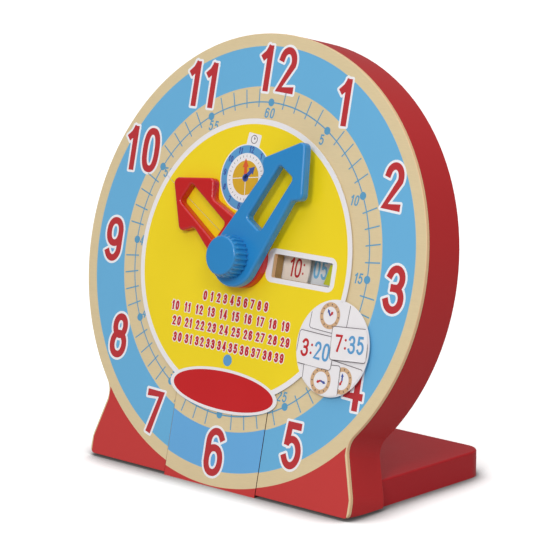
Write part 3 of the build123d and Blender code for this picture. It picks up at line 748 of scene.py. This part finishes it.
def finish_nodes(material, *nodes):
    """Gives CAD nodes a material in their own slots."""
    for node in nodes:
        slots = frame["nodes"][node].data.materials
        slots.clear()
        slots.append(material)


# ---- where the print lies
block_low, block_high = dial_box("six_block_front")
knob_low, knob_high = dial_box("knob")
card_low = dial_box("face_card")[0]
FACE, BLOCK_FACE, CARD_FACE = dial_box("front_panel")[0][1], block_low[1], card_low[1]

# Grounds to print on: a depth, a body and a slot.
DIAL = (FACE, "clock", "panel_plywood")
BLOCK = (BLOCK_FACE, "stand", "panel_plywood")
CARD = (CARD_FACE, "clock", "printed_card")
HOUR_DISC = (dial_box("hour_disc")[0][1], "hour", "white_plastic")
MINUTE_DISC = (dial_box("minute_disc")[0][1], "minute", "white_plastic")

# Left, right, bottom and top of the window in the board, and its corners' radius.
WINDOW = (23.7, 74.6, -9.0, 6.5)
WINDOW_CORNER = 1.2
# The body's own cut: beyond the window's sides, and up, down and back from the hub's centre.
CUT_SIDE, CUT_HEIGHT, CUT_DEPTH = 2.0, 11.0, 12.0

# Middle of each hour number on the dial, in millimetres; six is on the block.
HOUR_PLACES = {
    1: (62.0, 109.0), 2: (113.0, 60.4), 3: (127.0, -3.0), 4: (106.6, -67.4), 5: (63.3, -113.0),
    6: (-2.9, -129.0), 7: (-63.3, -113.0), 8: (-106.8, -67.0), 9: (-125.8, -2.5),
    10: (-111.2, 61.6), 11: (-64.8, 110.2), 12: (1.5, 125.5),
}
SIX_TALLER = 1.5  # the block's number is taller than the others
BLOCK_MINUTES = range(27, 34)  # the ticks that are printed on the block
NOTCH_ROOM = 0.6  # free width between the print and the block's sides
NOTCH_DEEPER = 1.0


def notch():
    """A box over the block, which the dial's own print leaves out."""
    left, right = block_low[0] - NOTCH_ROOM, block_high[0] + NOTCH_ROOM
    bottom, top = block_low[2] - NOTCH_DEEPER, block_high[2] + NOTCH_ROOM
    return np.array([[left, bottom], [right, bottom], [right, top], [left, top]])


def minute_marks(minutes, s):
    """Ticks, and dots at every fifth minute, as rings of points."""
    rings = []
    for minute in minutes:
        if minute % 5 == 0:
            middle = clock_line(6 * minute, s.track_radius / MM)[0]
            rings.append(circle(s.dot_radius / MM, *middle, 28))
        else:
            tick = clock_line(6 * minute, s.tick_inner / MM, s.tick_outer / MM)
            rings += ribbon(tick, s.track_line / MM)
    return rings


class CLOCK_OT_paint_wood(bpy.types.Operator):
    """Paints the wooden pieces: the printed panel, the body, the stand and the back"""

    bl_idname = "clock.paint_wood"
    bl_label = "Paint the wood"

    def execute(self, context):
        dial, stand = context.scene.clock_dial, context.scene.clock_stand
        finish_nodes(dial_board(
            "Printed plywood", dial, dial.blue, (dial.wood_radius, dial.wood_shift, dial.wrap),
            0.0, 0.0, FACE * MM, (dial.edge, dial.ply)), "front_panel")
        # The block's edge plies all take one dark red: paint, darkened as painted shade for the gap
        # beside the block.
        finish_nodes(dial_board(
            "Printed block", dial, dial.block_blue, (dial.block_wood_radius, 0.0, dial.block_wrap),
            dial.print_shift, dial.print_drop, BLOCK_FACE * MM,
            (dial.block_edge, dial.block_edge)), "six_block_front")
        finish_nodes(body_paint(
            "Body paint", stand.body_red, stand.cut_wood, Left=(WINDOW[0] - CUT_SIDE) * MM,
            Right=(WINDOW[1] + CUT_SIDE) * MM, Height=CUT_HEIGHT * MM, Depth=CUT_DEPTH * MM),
            "clock_body")
        finish_nodes(coated("Stand paint", tuple(stand.board_red), PAINT_RELIEF, specular=0.25,
                            **PAINT), "base_board", "six_block")
        finish_nodes(bare_wood("Hardboard", stand.back, 0.10, 0.25, 0.7), "back_panel")
        finish_nodes(bare_wood("Beech", stand.beech, 0.12, 0.15), "block_dowels")
        return {"FINISHED"}


class CLOCK_OT_print_minutes(bpy.types.Operator):
    """Prints the minute line, its ticks and dots, and the minute numbers"""

    bl_idname = "clock.print_minutes"
    bl_label = "Print the minute track"

    def execute(self, context):
        s = context.scene.clock_dial
        material = ink("Minute ink", s.minute)
        line, radius = s.track_line / MM, s.track_radius / MM
        shift, drop = s.print_shift / MM, s.print_drop / MM

        own = [minute for minute in range(60) if minute not in BLOCK_MINUTES]
        rings = minute_marks(own, s) + ribbon(circle(radius, count=240), line, closed=True)
        print_layer("minute_track", sheet(rings, [notch()]), DIAL, 1, material)
        half = math.degrees(math.asin((block_high[0] - shift) / radius))
        line_path = arc(0, 0, radius, radius, -90 - half, -90 + half, 40)
        rings = minute_marks(BLOCK_MINUTES, s) + ribbon(line_path, line)
        print_layer("block_minute_track", moved(sheet(rings), shift, -drop), BLOCK, 1, material)

        labels = []
        height = s.label_height / MM
        for minute in range(5, 65, 5):
            place = clock_line(6 * minute, s.label_radius / MM)[0]
            label = number(str(minute), height, LABEL_STROKE * height, gap=LABEL_GAP)
            labels += moved(label, *place, slant=LABEL_SLANT)
        print_layer("minute_numbers", labels, DIAL, 1, material)
        return {"FINISHED"}


class CLOCK_OT_print_hours(bpy.types.Operator):
    """Prints the twelve hour numbers with their borders; six goes on the block"""

    bl_idname = "clock.print_hours"
    bl_label = "Print the hour numbers"

    def execute(self, context):
        s = context.scene.clock_dial
        tall, stroke, border = s.number_height / MM, s.number_stroke / MM, s.number_border / MM
        inks = ink("Border ink", s.border), ink("Hour ink", s.number)
        dial = [hour for hour in HOUR_PLACES if hour != 6]
        prints = ((("hour_borders", "hour_numbers"), dial, tall, DIAL),
                  (("six_border", "six_number"), [6], tall + SIX_TALLER, BLOCK))
        for names, hours, height, ground in prints:
            for level, (name, edge) in enumerate(zip(names, (border, 0.0))):
                made = []
                for hour in hours:
                    made += moved(number(str(hour), height, stroke, edge), *HOUR_PLACES[hour])
                print_layer(name, made, ground, level + 1, inks[level])
        return {"FINISHED"}


# ---- the card over the dial
CARD_SHIFT, CARD_DROP = -3.0, 1.5  # the loose card hangs a little to the left and low
CARD_TRIM = 0.2
CARD_BORDER_END = 4.0
CARD_THICKNESS = 0.5
CARD_GRID = 3.0  # spacing of the points that let the card bend
HUB_HOLE = 17.0
OVAL_DROP, OVAL_WIDTH, OVAL_HEIGHT = 88.2, 48.4, 14.4
OVAL_BORDER = (3.1, 1.9)
SPOT = (3.9, -2.8, -68.0)  # radius, x and z
TAB_X, TAB_Z, TAB_RADIUS = 85.5, -46.5, 31.0
TAB_START = 40.0  # the tab lies to the right of this
TAB_BEND_RADIUS = 97.0  # the tab bends up outside this radius
TAB_MARGIN = 0.8
RIM_BEND_RADIUS = 72.0  # the card's right side curls up outside this radius
# The third number is the width of a dark strip printed on the dial under the slit, as painted
# shadow of the cut.
SLIT_ANGLE, SLIT_WIDTH, PAINTED_SLIT_SHADOW = 299.0, 0.3, 1.2
SLIT_OVERLAP = 2.0  # how far the slit starts inside the hub's hole
FLAP_LONG, FLAP_SHORT, FLAP_ANGLE = 12.5, 4.2, 30.0
FLAP_ROWS, FLAP_COLUMNS = 9, 7
WINDOW_FRAME = (18.7, 78.2, -12.3, 10.0)
WINDOW_FRAME_CORNER = 5.5

# Height, left end and right end of each row of ten numbers.
ROWS = ((-28.7, -34.4, 26.8), (-38.8, -60.0, 46.0), (-48.9, -57.0, 47.5), (-59.5, -54.0, 44.5))
ROW_HEIGHT, ROW_STROKE, ROW_BORDER = 6.3, 1.4, 0.6
ROW_INSET = 3.0

SMALL_CLOCK, SMALL_CLOCK_RADIUS, SMALL_CLOCK_TURN = (-11.8, 52.3), 22.4, 6.0
CLOCK_TAB, CLOCK_TAB_CORNER = (-5.8, 5.8, 19.0, 29.8), 1.0  # before the small clock's turn
SMALL_RING, SMALL_CENTRE, SMALL_HUB = (21.6, 16.4), 11.5, 2.6
SMALL_NUMBER_RADIUS, SMALL_NUMBER_HEIGHT, SMALL_NUMBER_STROKE = 19.0, 4.3, 0.8
SMALL_TICK, SMALL_TICK_WIDTH = (13.6, 15.0), 0.3
CROSS_ANGLES, CROSS_REACH = (76, 166), 11.4
FINE_LINE = 0.5
HAND_WAIST, HAND_NECK = 0.5, 0.55  # parts of a hand's half width and of its length
SMALL_MINUTE_HAND, SMALL_HOUR_HAND = (345, 13.0, 2.6, 1.5), (35, 10.8, 2.8, 1.5)
ICON_RING, ICON_HANDS, ICON_HEIGHT = (2.9, 2.45), ((0.0, 1.9), (1.1, 0.8)), 25.9

# Place and turn of each pictured time card, and its time or the angles of its two hands.
TAB_CARDS = ((79.0, -26.4, 3.0, (35, 325)), (98.0, -65.3, 5.0, (200, 350)),
             (80.0, -68.0, -4.0, (250, 110)), (71.5, -49.5, 2.0, "3:20"),
             (99.5, -42.0, -4.0, "7:35"))
TAB_CARD, TAB_CARD_CORNER, TAB_CARD_LINE = (-15.6, 15.6, -10.6, 10.6), 2.0, 0.4
TIME_HEIGHT, TIME_STROKE, TIME_PLACES = 11.6, 1.7, (-7.2, 5.8)
TAB_RING, TAB_TICK, TAB_TICK_WIDTH = (8.6, 5.8), (6.7, 7.7), 0.7
TAB_HOUR_HAND, TAB_MINUTE_HAND = (3.6, 1.3), (4.8, 1.2)


def card_radius():
    return CARD_SHIFT - card_low[0] - CARD_TRIM


def card_lift(points, most, rim):
    """How far the card stands off the dial.

    The right side of the rim curls up with the square of the distance outside a bend, times
    the cosine of the angle from the right, and the tab bends up further in the same way.
    """
    reach = np.linalg.norm(points, axis=1)
    beyond = np.clip(reach - TAB_BEND_RADIUS, 0, None)
    far = math.hypot(TAB_X, TAB_Z) + TAB_RADIUS - TAB_BEND_RADIUS
    tab = np.where(points[:, 0] > TAB_START, most * (beyond / far) ** 2, 0.0)
    curl = np.clip((reach - RIM_BEND_RADIUS) / (card_radius() - RIM_BEND_RADIUS), 0, 1)
    return tab + rim * curl ** 2 * np.clip(points[:, 0] / np.maximum(reach, 1.0), 0, 1)


def slit(reach, width):
    """A straight cut from the hub outwards."""
    return ribbon(clock_line(SLIT_ANGLE, HUB_HOLE - SLIT_OVERLAP, reach), width)[0]


def clock_hand(angle, tip, half_width, tail=0.0):
    """A small arrow from the centre that points at a clock angle."""
    half, neck = half_width * HAND_WAIST, tip * HAND_NECK
    shape = np.array([[-half, -tail], [half, -tail], [half, neck], [half_width, neck], [0, tip],
                      [-half_width, neck], [-half, neck]])
    return moved(sheet([shape]), clockwise=angle)


def ring_drawing(outer, inner, count=72):
    return sheet([circle(outer, count=count)], [circle(inner, count=count)])


def ring_around(ring, reach=60.0, cut=0.01):
    """A ring round all that lies outside another ring: out to a box, and back by a thin cut."""
    low, high = ring.min(0) - reach, ring.max(0) + reach
    start = ring[0]
    box = np.array([[high[0], start[1]], [high[0], high[1]], [low[0], high[1]], [low[0], low[1]],
                    [high[0], low[1]], [high[0], start[1] - cut]])
    return np.concatenate([box, [start - (0, cut)], ring[::-1]])


class CLOCK_OT_fit_card(bpy.types.Operator):
    """Makes the printed card that lies over the dial, with all that is printed on it"""

    bl_idname = "clock.fit_card"
    bl_label = "Fit the printed card"

    def execute(self, context):
        self.s = context.scene.clock_card
        self.lift = lambda points: card_lift(points, self.s.tab_lift / MM, self.s.rim_lift / MM)
        self.inks = {name: ink("Card " + name, getattr(self.s, name))
                     for name in ("paper", "field", "oval", "ink_red", "ink_blue", "ink_deep",
                                  "line", "tan", "orange", "vermilion", "lime")}
        self.make_card()
        self.make_flap()
        self.print_field()
        self.print_rows()
        self.print_small_clock()
        for order, (*place, shows) in enumerate(TAB_CARDS):
            self.print_time_card(f"tab_card_{order + 1}", 1 + 4 * order, place, shows)
        return {"FINISHED"}

    def layer(self, name, drawing, level, ink_name):
        return print_layer(name, drawing, CARD, level, self.inks[ink_name], self.lift)

    def outlines(self):
        """The foot and the tab of the card, and its holes."""
        foot = oval(OVAL_WIDTH, OVAL_HEIGHT, CARD_SHIFT, -OVAL_DROP, count=96)
        tab = circle(TAB_RADIUS, TAB_X, TAB_Z, 96)
        holes = [circle(HUB_HOLE), rounded_box(*WINDOW, WINDOW_CORNER),
                 slit(2 * card_radius(), SLIT_WIDTH)]
        return foot, tab, holes

    def make_card(self):
        foot, tab, holes = self.outlines()
        disc = circle(card_radius(), CARD_SHIFT, -CARD_DROP, 180)
        ground = (CARD_FACE + CARD_THICKNESS, *CARD[1:])
        card = print_layer("printed_card", sheet([disc, foot, tab], holes, CARD_GRID), ground, 1,
                           self.inks["paper"], self.lift, CARD_THICKNESS)
        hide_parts("face_card")
        # Painted shadow: a dark ink strip on the dial's wood under the slit stands for the shade
        # inside the cut.
        shade = sheet([slit(card_radius() - CARD_BORDER_END, PAINTED_SLIT_SHADOW)])
        print_layer("painted_slit_shadow", shade, (FACE, *CARD[1:]), 1, self.inks["line"])

    def make_flap(self):
        """The flap is a strip that leaves the window's right end and turns into the clock."""
        low, high = WINDOW[2] + WINDOW_CORNER, WINDOW[3] - WINDOW_CORNER
        rows, columns = np.meshgrid(np.linspace(0, 1, FLAP_ROWS), np.linspace(0, 1, FLAP_COLUMNS),
                                    indexing="ij")
        reach = columns * (FLAP_LONG + (FLAP_SHORT - FLAP_LONG) * rows)
        angle = math.radians(FLAP_ANGLE)
        depth = CARD_FACE + reach * math.sin(angle)
        points = np.stack([WINDOW[1] - reach * math.cos(angle), low + (high - low) * rows], -1)
        flap = add_piece("window_flap", on_dial(points.reshape(-1, 2), depth.reshape(-1)),
                         grid_faces(FLAP_ROWS, FLAP_COLUMNS, False), self.inks["lime"], *CARD[1:])
        thicken(flap, CARD_THICKNESS)

    def print_field(self):
        foot, tab, holes = self.outlines()
        field = circle(card_radius() - self.s.border / MM, CARD_SHIFT, -CARD_DROP, 180)
        bare = [foot, tab, rounded_box(*WINDOW_FRAME, WINDOW_FRAME_CORNER),
                circle(SMALL_CLOCK_RADIUS, *SMALL_CLOCK),
                moved_points(rounded_box(*CLOCK_TAB, CLOCK_TAB_CORNER), *SMALL_CLOCK,
                             SMALL_CLOCK_TURN)]
        self.layer("card_field", sheet([field], bare + holes, CARD_GRID), 1, "field")
        inner = oval(OVAL_WIDTH - OVAL_BORDER[0], OVAL_HEIGHT - OVAL_BORDER[1], CARD_SHIFT,
                     -OVAL_DROP, count=96)
        self.layer("card_oval", sheet([inner], (), CARD_GRID), 1, "oval")
        self.layer("card_dot", sheet([circle(*SPOT, 32)]), 2, "ink_blue")

    def print_rows(self):
        """Rows of plain numbers, each with a white border, spread over a row's width."""
        for name, edge, level, ink_name in (("row_borders", ROW_BORDER, 2, "paper"),
                                            ("row_numbers", 0.0, 3, "ink_red")):
            made = []
            for row, (z, left, right) in enumerate(ROWS):
                for order, x in enumerate(np.linspace(left + ROW_INSET, right - ROW_INSET, 10)):
                    value = str(10 * row + order)
                    made += moved(number(value, ROW_HEIGHT, ROW_STROKE, edge), x, z)
            self.layer(name, made, level, ink_name)

    def print_small_clock(self):
        """A plain small clock face: rings, twelve numbers, ticks, two hands and an icon."""
        numbers, ticks = [], []
        for hour in range(1, 13):
            place = clock_line(30 * hour, SMALL_NUMBER_RADIUS)[0]
            numbers += moved(number(str(hour), SMALL_NUMBER_HEIGHT, SMALL_NUMBER_STROKE,
                                    gap=CLOSE_GAP), *place)
        for minute in range(0, 60, 2):
            ticks += sheet(ribbon(clock_line(6 * minute, *SMALL_TICK), SMALL_TICK_WIDTH))
        cross = []
        for angle in CROSS_ANGLES:
            cross += ribbon(clock_line(angle, CROSS_REACH, -CROSS_REACH), FINE_LINE)
        hour_hand = clock_hand(*SMALL_HOUR_HAND) + sheet([circle(SMALL_HUB, count=28)])
        icon = ring_drawing(*ICON_RING, 40)
        for end in ICON_HANDS:
            icon += sheet(ribbon([(0.0, 0.0), end], FINE_LINE))
        layers = (("small_clock_ring", ring_drawing(*SMALL_RING), 1, "ink_blue"),
                  ("small_clock_centre", sheet([circle(SMALL_CENTRE, count=60)]), 1, "orange"),
                  ("small_clock_numbers", numbers, 2, "ink_deep"),
                  ("small_clock_ticks", ticks, 1, "line"),
                  ("small_clock_cross", sheet(cross), 2, "paper"),
                  ("small_minute_hand", clock_hand(*SMALL_MINUTE_HAND), 3, "vermilion"),
                  ("small_hour_hand", hour_hand, 4, "ink_deep"),
                  ("small_icon", moved(icon, 0.0, ICON_HEIGHT), 1, "line"))
        for name, drawing, level, ink_name in layers:
            self.layer(name, moved(drawing, *SMALL_CLOCK, SMALL_CLOCK_TURN), level, ink_name)

    def print_time_card(self, name, level, place, shows):
        """One small card, its outline, and either a time or a dial with two hands."""
        box = moved_points(rounded_box(*TAB_CARD, TAB_CARD_CORNER), *place)
        outside = ring_around(circle(TAB_RADIUS - TAB_MARGIN, TAB_X, TAB_Z, 90))
        self.layer(name, sheet([box], [outside], CARD_GRID), level, "paper")
        outline = sheet(ribbon(box, TAB_CARD_LINE, closed=True), [outside])
        self.layer(name + "_line", outline, level + 1, "line")
        if isinstance(shows, str):
            hour, minute = shows.split(":")
            hour = moved(number(hour + ":", TIME_HEIGHT, TIME_STROKE, gap=CLOSE_GAP),
                         TIME_PLACES[0])
            minute = moved(number(minute, TIME_HEIGHT, TIME_STROKE, gap=TIGHT_GAP),
                           TIME_PLACES[1])
        else:
            ring = moved(ring_drawing(*TAB_RING, 48), *place)
            self.layer(name + "_ring", ring, level + 1, "tan")
            ticks = [ribbon(clock_line(30 * hour, *TAB_TICK), TAB_TICK_WIDTH)[0]
                     for hour in range(12)]
            self.layer(name + "_ticks", moved(sheet(ticks), *place), level + 2, "line")
            hour = clock_hand(shows[0], *TAB_HOUR_HAND)
            minute = clock_hand(shows[1], *TAB_MINUTE_HAND)
        self.layer(name + "_hour", moved(hour, *place), level + 2, "ink_red")
        self.layer(name + "_minute", moved(minute, *place), level + 2,
                   "ink_blue" if isinstance(shows, str) else "ink_deep")


# ---- discs, hands, knob and works
HOUR_HAND_AT, MINUTE_HAND_AT = 302.5, 30.0  # clock angles of the hands at rest
DISC_NUMBER_HEIGHT, DISC_SQUEEZE = 12.6, 0.84
HOUR_STROKE, MINUTE_STROKE = 1.6, 1.9
ONE_DIGIT_PLACE, TWO_DIGIT_PLACE, MINUTE_PLACE = (37.8, 1.0), (35.4, 1.0), (51.4, 0.8)
RIB_COLUMNS = 14  # columns of points for each rib of the knob
RIB_MIDDLE, RIB_SWING = 0.4, 1.2
RIB_FADE = 0.8  # a rib rises over this part of the edge's rounding
RIB_SIDE = 0.3  # ribs stand where the knob's radius is this close to its largest
SIDE_STARTS = (2.2, 3.2)  # first points down the knob's side, in edge roundings
CAP_SHARE = 0.55  # the flat middle of the knob's ends as a part of its radius
BACK_CHAMFER = (0.2, 0.3)  # inwards and along the knob


def disc_number(text, stroke, gap, place, clockwise):
    """A number that is drawn where the window is, and then turned round the hub."""
    drawing = number(text, DISC_NUMBER_HEIGHT, stroke, gap=gap)
    return moved(moved(drawing, *place, squeeze=DISC_SQUEEZE), clockwise=clockwise)


class CLOCK_OT_print_discs(bpy.types.Operator):
    """Prints the hour and minute numbers on the two discs behind the window"""

    bl_idname = "clock.print_discs"
    bl_label = "Print the number discs"

    def execute(self, context):
        plastic = context.scene.clock_plastic
        finish_nodes(coated("Hour disc", tuple(plastic.hour_disc), **SATIN), "hour_disc")
        finish_nodes(coated("Minute disc", tuple(plastic.minute_disc), **SATIN), "minute_disc")
        hours, minutes = [], []
        for hour in range(1, 13):
            place = TWO_DIGIT_PLACE if hour > 9 else ONE_DIGIT_PLACE
            hours += disc_number(f"{hour}:", HOUR_STROKE, TIGHT_GAP, place,
                                 HOUR_HAND_AT - 30 * hour)
            minutes += disc_number(f"{5 * (hour % 12):02d}", MINUTE_STROKE, MINUTE_GAP,
                                   MINUTE_PLACE, MINUTE_HAND_AT - 30 * (hour % 12))
        print_layer("disc_hours", hours, HOUR_DISC, 1,
                    ink("Disc red", context.scene.clock_card.ink_red))
        print_layer("disc_minutes", minutes, MINUTE_DISC, 1, ink("Disc blue", plastic.minute_print))
        return {"FINISHED"}


class CLOCK_OT_dress_hands(bpy.types.Operator):
    """Gives the two hands their glossy moulded finish"""

    bl_idname = "clock.dress_hands"
    bl_label = "Finish the hands"

    def execute(self, context):
        plastic = context.scene.clock_plastic
        finish_nodes(coated("Blue plastic", tuple(plastic.blue), **GLOSS), "minute_hand")
        finish_nodes(coated("Red plastic", tuple(plastic.red), **GLOSS), "hour_hand")
        return {"FINISHED"}


class CLOCK_OT_turn_knob(bpy.types.Operator):
    """Makes the ribbed knob in the middle of the minute hand"""

    bl_idname = "clock.turn_knob"
    bl_label = "Make the knob"

    def execute(self, context):
        plastic = context.scene.clock_plastic
        rib_height, edge = plastic.rib_height / MM, plastic.knob_edge / MM
        radius = knob_high[0] - rib_height
        front, back = knob_low[1], knob_high[1]
        long = back - front
        inward, along = BACK_CHAMFER
        profile = np.concatenate([
            [[radius * CAP_SHARE, 0.0]],
            arc(radius - edge, -edge, edge, edge, 90, 0, 8) * (1, -1),
            [[radius, SIDE_STARTS[0] * edge]],
            np.stack([np.full(5, radius), np.linspace(SIDE_STARTS[1] * edge, long - along, 5)], -1),
            [[radius - inward, long], [radius * CAP_SHARE, long]],
        ])
        columns = plastic.rib_count * RIB_COLUMNS
        points = self.lathe(profile, columns, front, plastic.rib_count, rib_height, edge)
        points = np.concatenate([points, on_dial([[0, 0], [0, 0]], [front, back])])

        around = np.arange(columns)
        ahead = np.roll(around, -1)
        last, middle = (len(profile) - 1) * columns, len(profile) * columns
        front_cap = np.stack([np.full(columns, middle), around, ahead], -1)
        back_cap = np.stack([np.full(columns, middle + 1), last + ahead, last + around], -1)
        faces = [*grid_faces(len(profile), columns, True), *front_cap, *back_cap]
        knob = add_piece("ribbed_knob", points, faces,
                         coated("Blue plastic", tuple(plastic.blue), **GLOSS), "minute",
                         "blue_plastic")
        knob.data.shade_smooth()
        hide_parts("knob")
        return {"FINISHED"}

    def lathe(self, profile, columns, front, ribs, rib_height, edge):
        """The profile turned round the hub: radius and depth down it, angle round it.

        A rib stands where the cosine of ribs times the angle is high: it rises over a narrow
        band round zero to a flat top, and fades in below the front edge.
        """
        angle = np.arange(columns) * 2 * np.pi / columns
        wave = np.clip(RIB_MIDDLE + RIB_SWING * np.cos(ribs * angle), 0, 1)
        side = profile[:, 0] > profile[:, 0].max() - RIB_SIDE
        fade = np.where(side, np.clip((profile[:, 1] - edge) / (RIB_FADE * edge), 0, 1), 0)
        radius = profile[:, :1] + rib_height * fade[:, None] * wave
        flat = np.stack([radius * np.sin(angle), radius * np.cos(angle)], -1)
        depth = np.broadcast_to(front + profile[:, 1:], radius.shape)
        return on_dial(flat.reshape(-1, 2), depth.reshape(-1))


class CLOCK_OT_dress_works(bpy.types.Operator):
    """Finishes the gears, bearings, screws, clips and the cards stored in the block"""

    bl_idname = "clock.dress_works"
    bl_label = "Finish the works"

    def execute(self, context):
        plastic = context.scene.clock_plastic
        finish_nodes(coated("Acetal", tuple(plastic.gear), roughness=0.42, strength=0.015),
                     "hour_pipe", "hour_wheel", "minute_shaft", "minute_pinion", "idler_wheel",
                     "idler_pinion")
        finish_nodes(coated("Nylon", tuple(plastic.bearing), roughness=0.5, strength=0.03),
                     "hub_bush", "idler_bush", "rear_bush")
        finish_nodes(coated("Zinc plate", tuple(plastic.steel), patches=60.0, strength=0.05,
                            grain=2600.0, roughness=0.32, spread=0.08, metallic=1.0),
                     "hub_nut", "shaft_clip", "idler_clip", "idler_axle", "back_screws",
                     "block_screws")
        finish_nodes(ink("Stored cards", context.scene.clock_card.paper), "time_cards")
        return {"FINISHED"}


# ---- stage
FLOOR_HALF = 8.0  # metres
KEY_SIZE, KEY_PLACE = 0.55, (0.61, -1.7, 1.2)
SIDE_SIZE, SIDE_PLACE = 0.45, (1.5, -1.25, 1.1)
SHADED_SHARE = 0.48  # the painted contact shadow is darkest where this much of the sky is open
SENSOR_WIDTH, FAR_LIMIT = 36.0, 100.0


def turn_to(made, place, way):
    """Puts an object in its place, looking along a way."""
    made.location = place
    made.rotation_mode = "QUATERNION"
    made.rotation_quaternion = way.to_track_quat("-Z", "Y")


class CLOCK_OT_set_stage(bpy.types.Operator):
    """Sets the floor, the soft lights and the camera"""

    bl_idname = "clock.set_stage"
    bl_label = "Set the stage"

    def execute(self, context):
        s = context.scene.clock_stage
        self.make_floor(s)
        aim = Vector((s.aim_x, s.aim_y, s.aim_z))
        for name, power, size, place in (("key", s.key_power, KEY_SIZE, KEY_PLACE),
                                         ("side", s.side_power, SIDE_SIZE, SIDE_PLACE)):
            light = place_object(name, bpy.data.lights.new(name, "AREA"))
            light.data.energy = power
            light.data.size = size
            turn_to(light, place, aim - Vector(place))
        top = place_object("top", bpy.data.lights.new("top", "SUN"))
        top.data.energy = s.top_strength
        top.data.angle = s.top_spread

        context.scene.view_settings.view_transform = "Standard"
        world = context.scene.world or bpy.data.worlds.new("Studio")
        context.scene.world = world
        world.use_nodes = True
        seen = add_node(world.node_tree, "LightPath", {}, "Is Camera Ray")
        feed(world.node_tree.nodes["Background"].inputs,
             {"Color": WHITE, "Strength": seen * (1.0 - s.sky) + s.sky})

        back = Vector((math.sin(s.azimuth) * math.cos(s.elevation),
                       -math.cos(s.azimuth) * math.cos(s.elevation), math.sin(s.elevation)))
        camera = place_object("camera", bpy.data.cameras.new("camera"))
        camera.data.sensor_width = SENSOR_WIDTH
        camera.data.lens = s.lens
        camera.data.clip_end = FAR_LIMIT
        turn_to(camera, aim + back * s.distance, -back)
        context.scene.camera = camera
        return {"FINISHED"}

    def make_floor(self, s):
        """A square floor of one face."""
        mesh = bpy.data.meshes.new("floor")
        mesh.from_pydata([(-FLOOR_HALF, -FLOOR_HALF, 0), (FLOOR_HALF, -FLOOR_HALF, 0),
                          (FLOOR_HALF, FLOOR_HALF, 0), (-FLOOR_HALF, FLOOR_HALF, 0)],
                         [], [(0, 1, 2, 3)])
        floor = place_object("floor", mesh)
        material, surface, place = shader("Floor", specular=0.0)
        seen = add_node(place.tree, "LightPath", {}, "Is Camera Ray")
        # Painted shadow: near the object, ambient occlusion darkens the floor's colour towards the
        # contact shade.
        near = add_node(place.tree, "AmbientOcclusion", {"Distance": s.contact}, "AO")
        open_share = add_node(place.tree, "MapRange", {"Value": near, "From Min": SHADED_SHARE},
                              "Result", interpolation_type="SMOOTHSTEP")
        shown = mix(open_share, s.contact_shade, s.floor)
        feed(surface, {"Base Color": mix(seen, s.bounce, shown), "Roughness": 1.0,
                       "Emission Color": mix(seen, BLACK, shown),
                       "Emission Strength": s.floor_glow})
        mesh.materials.append(material)


# ---- panel and registration
OPERATORS = (CLOCK_OT_set_stage, CLOCK_OT_paint_wood, CLOCK_OT_print_minutes,
             CLOCK_OT_print_hours, CLOCK_OT_fit_card, CLOCK_OT_print_discs, CLOCK_OT_dress_hands,
             CLOCK_OT_turn_knob, CLOCK_OT_dress_works)
SETTINGS = {"clock_dial": DialSettings, "clock_card": CardSettings,
            "clock_plastic": PlasticSettings, "clock_stand": StandSettings,
            "clock_stage": StageSettings}


class CLOCK_PT_sidebar(bpy.types.Panel):
    """Lists the steps that make the clock"""

    bl_label = "Teaching clock"
    bl_idname = "CLOCK_PT_sidebar"
    bl_space_type = "VIEW_3D"
    bl_region_type = "UI"
    bl_category = "Clock"

    def draw(self, context):
        for operator in OPERATORS:
            self.layout.operator(operator.bl_idname)


def register():
    for group in (*SETTINGS.values(), *OPERATORS, CLOCK_PT_sidebar):
        bpy.utils.register_class(group)
    for name, group in SETTINGS.items():
        setattr(bpy.types.Scene, name, PointerProperty(type=group))


def unregister():
    for name in SETTINGS:
        delattr(bpy.types.Scene, name)
    for group in (*SETTINGS.values(), *OPERATORS, CLOCK_PT_sidebar):
        bpy.utils.unregister_class(group)


def main():
    """Makes every piece in order."""
    register()
    bpy.ops.clock.set_stage()
    bpy.ops.clock.paint_wood()
    bpy.ops.clock.print_minutes()
    bpy.ops.clock.print_hours()
    bpy.ops.clock.fit_card()
    bpy.ops.clock.print_discs()
    bpy.ops.clock.dress_hands()
    bpy.ops.clock.turn_knob()
    bpy.ops.clock.dress_works()


if __name__ == "__main__":
    main()
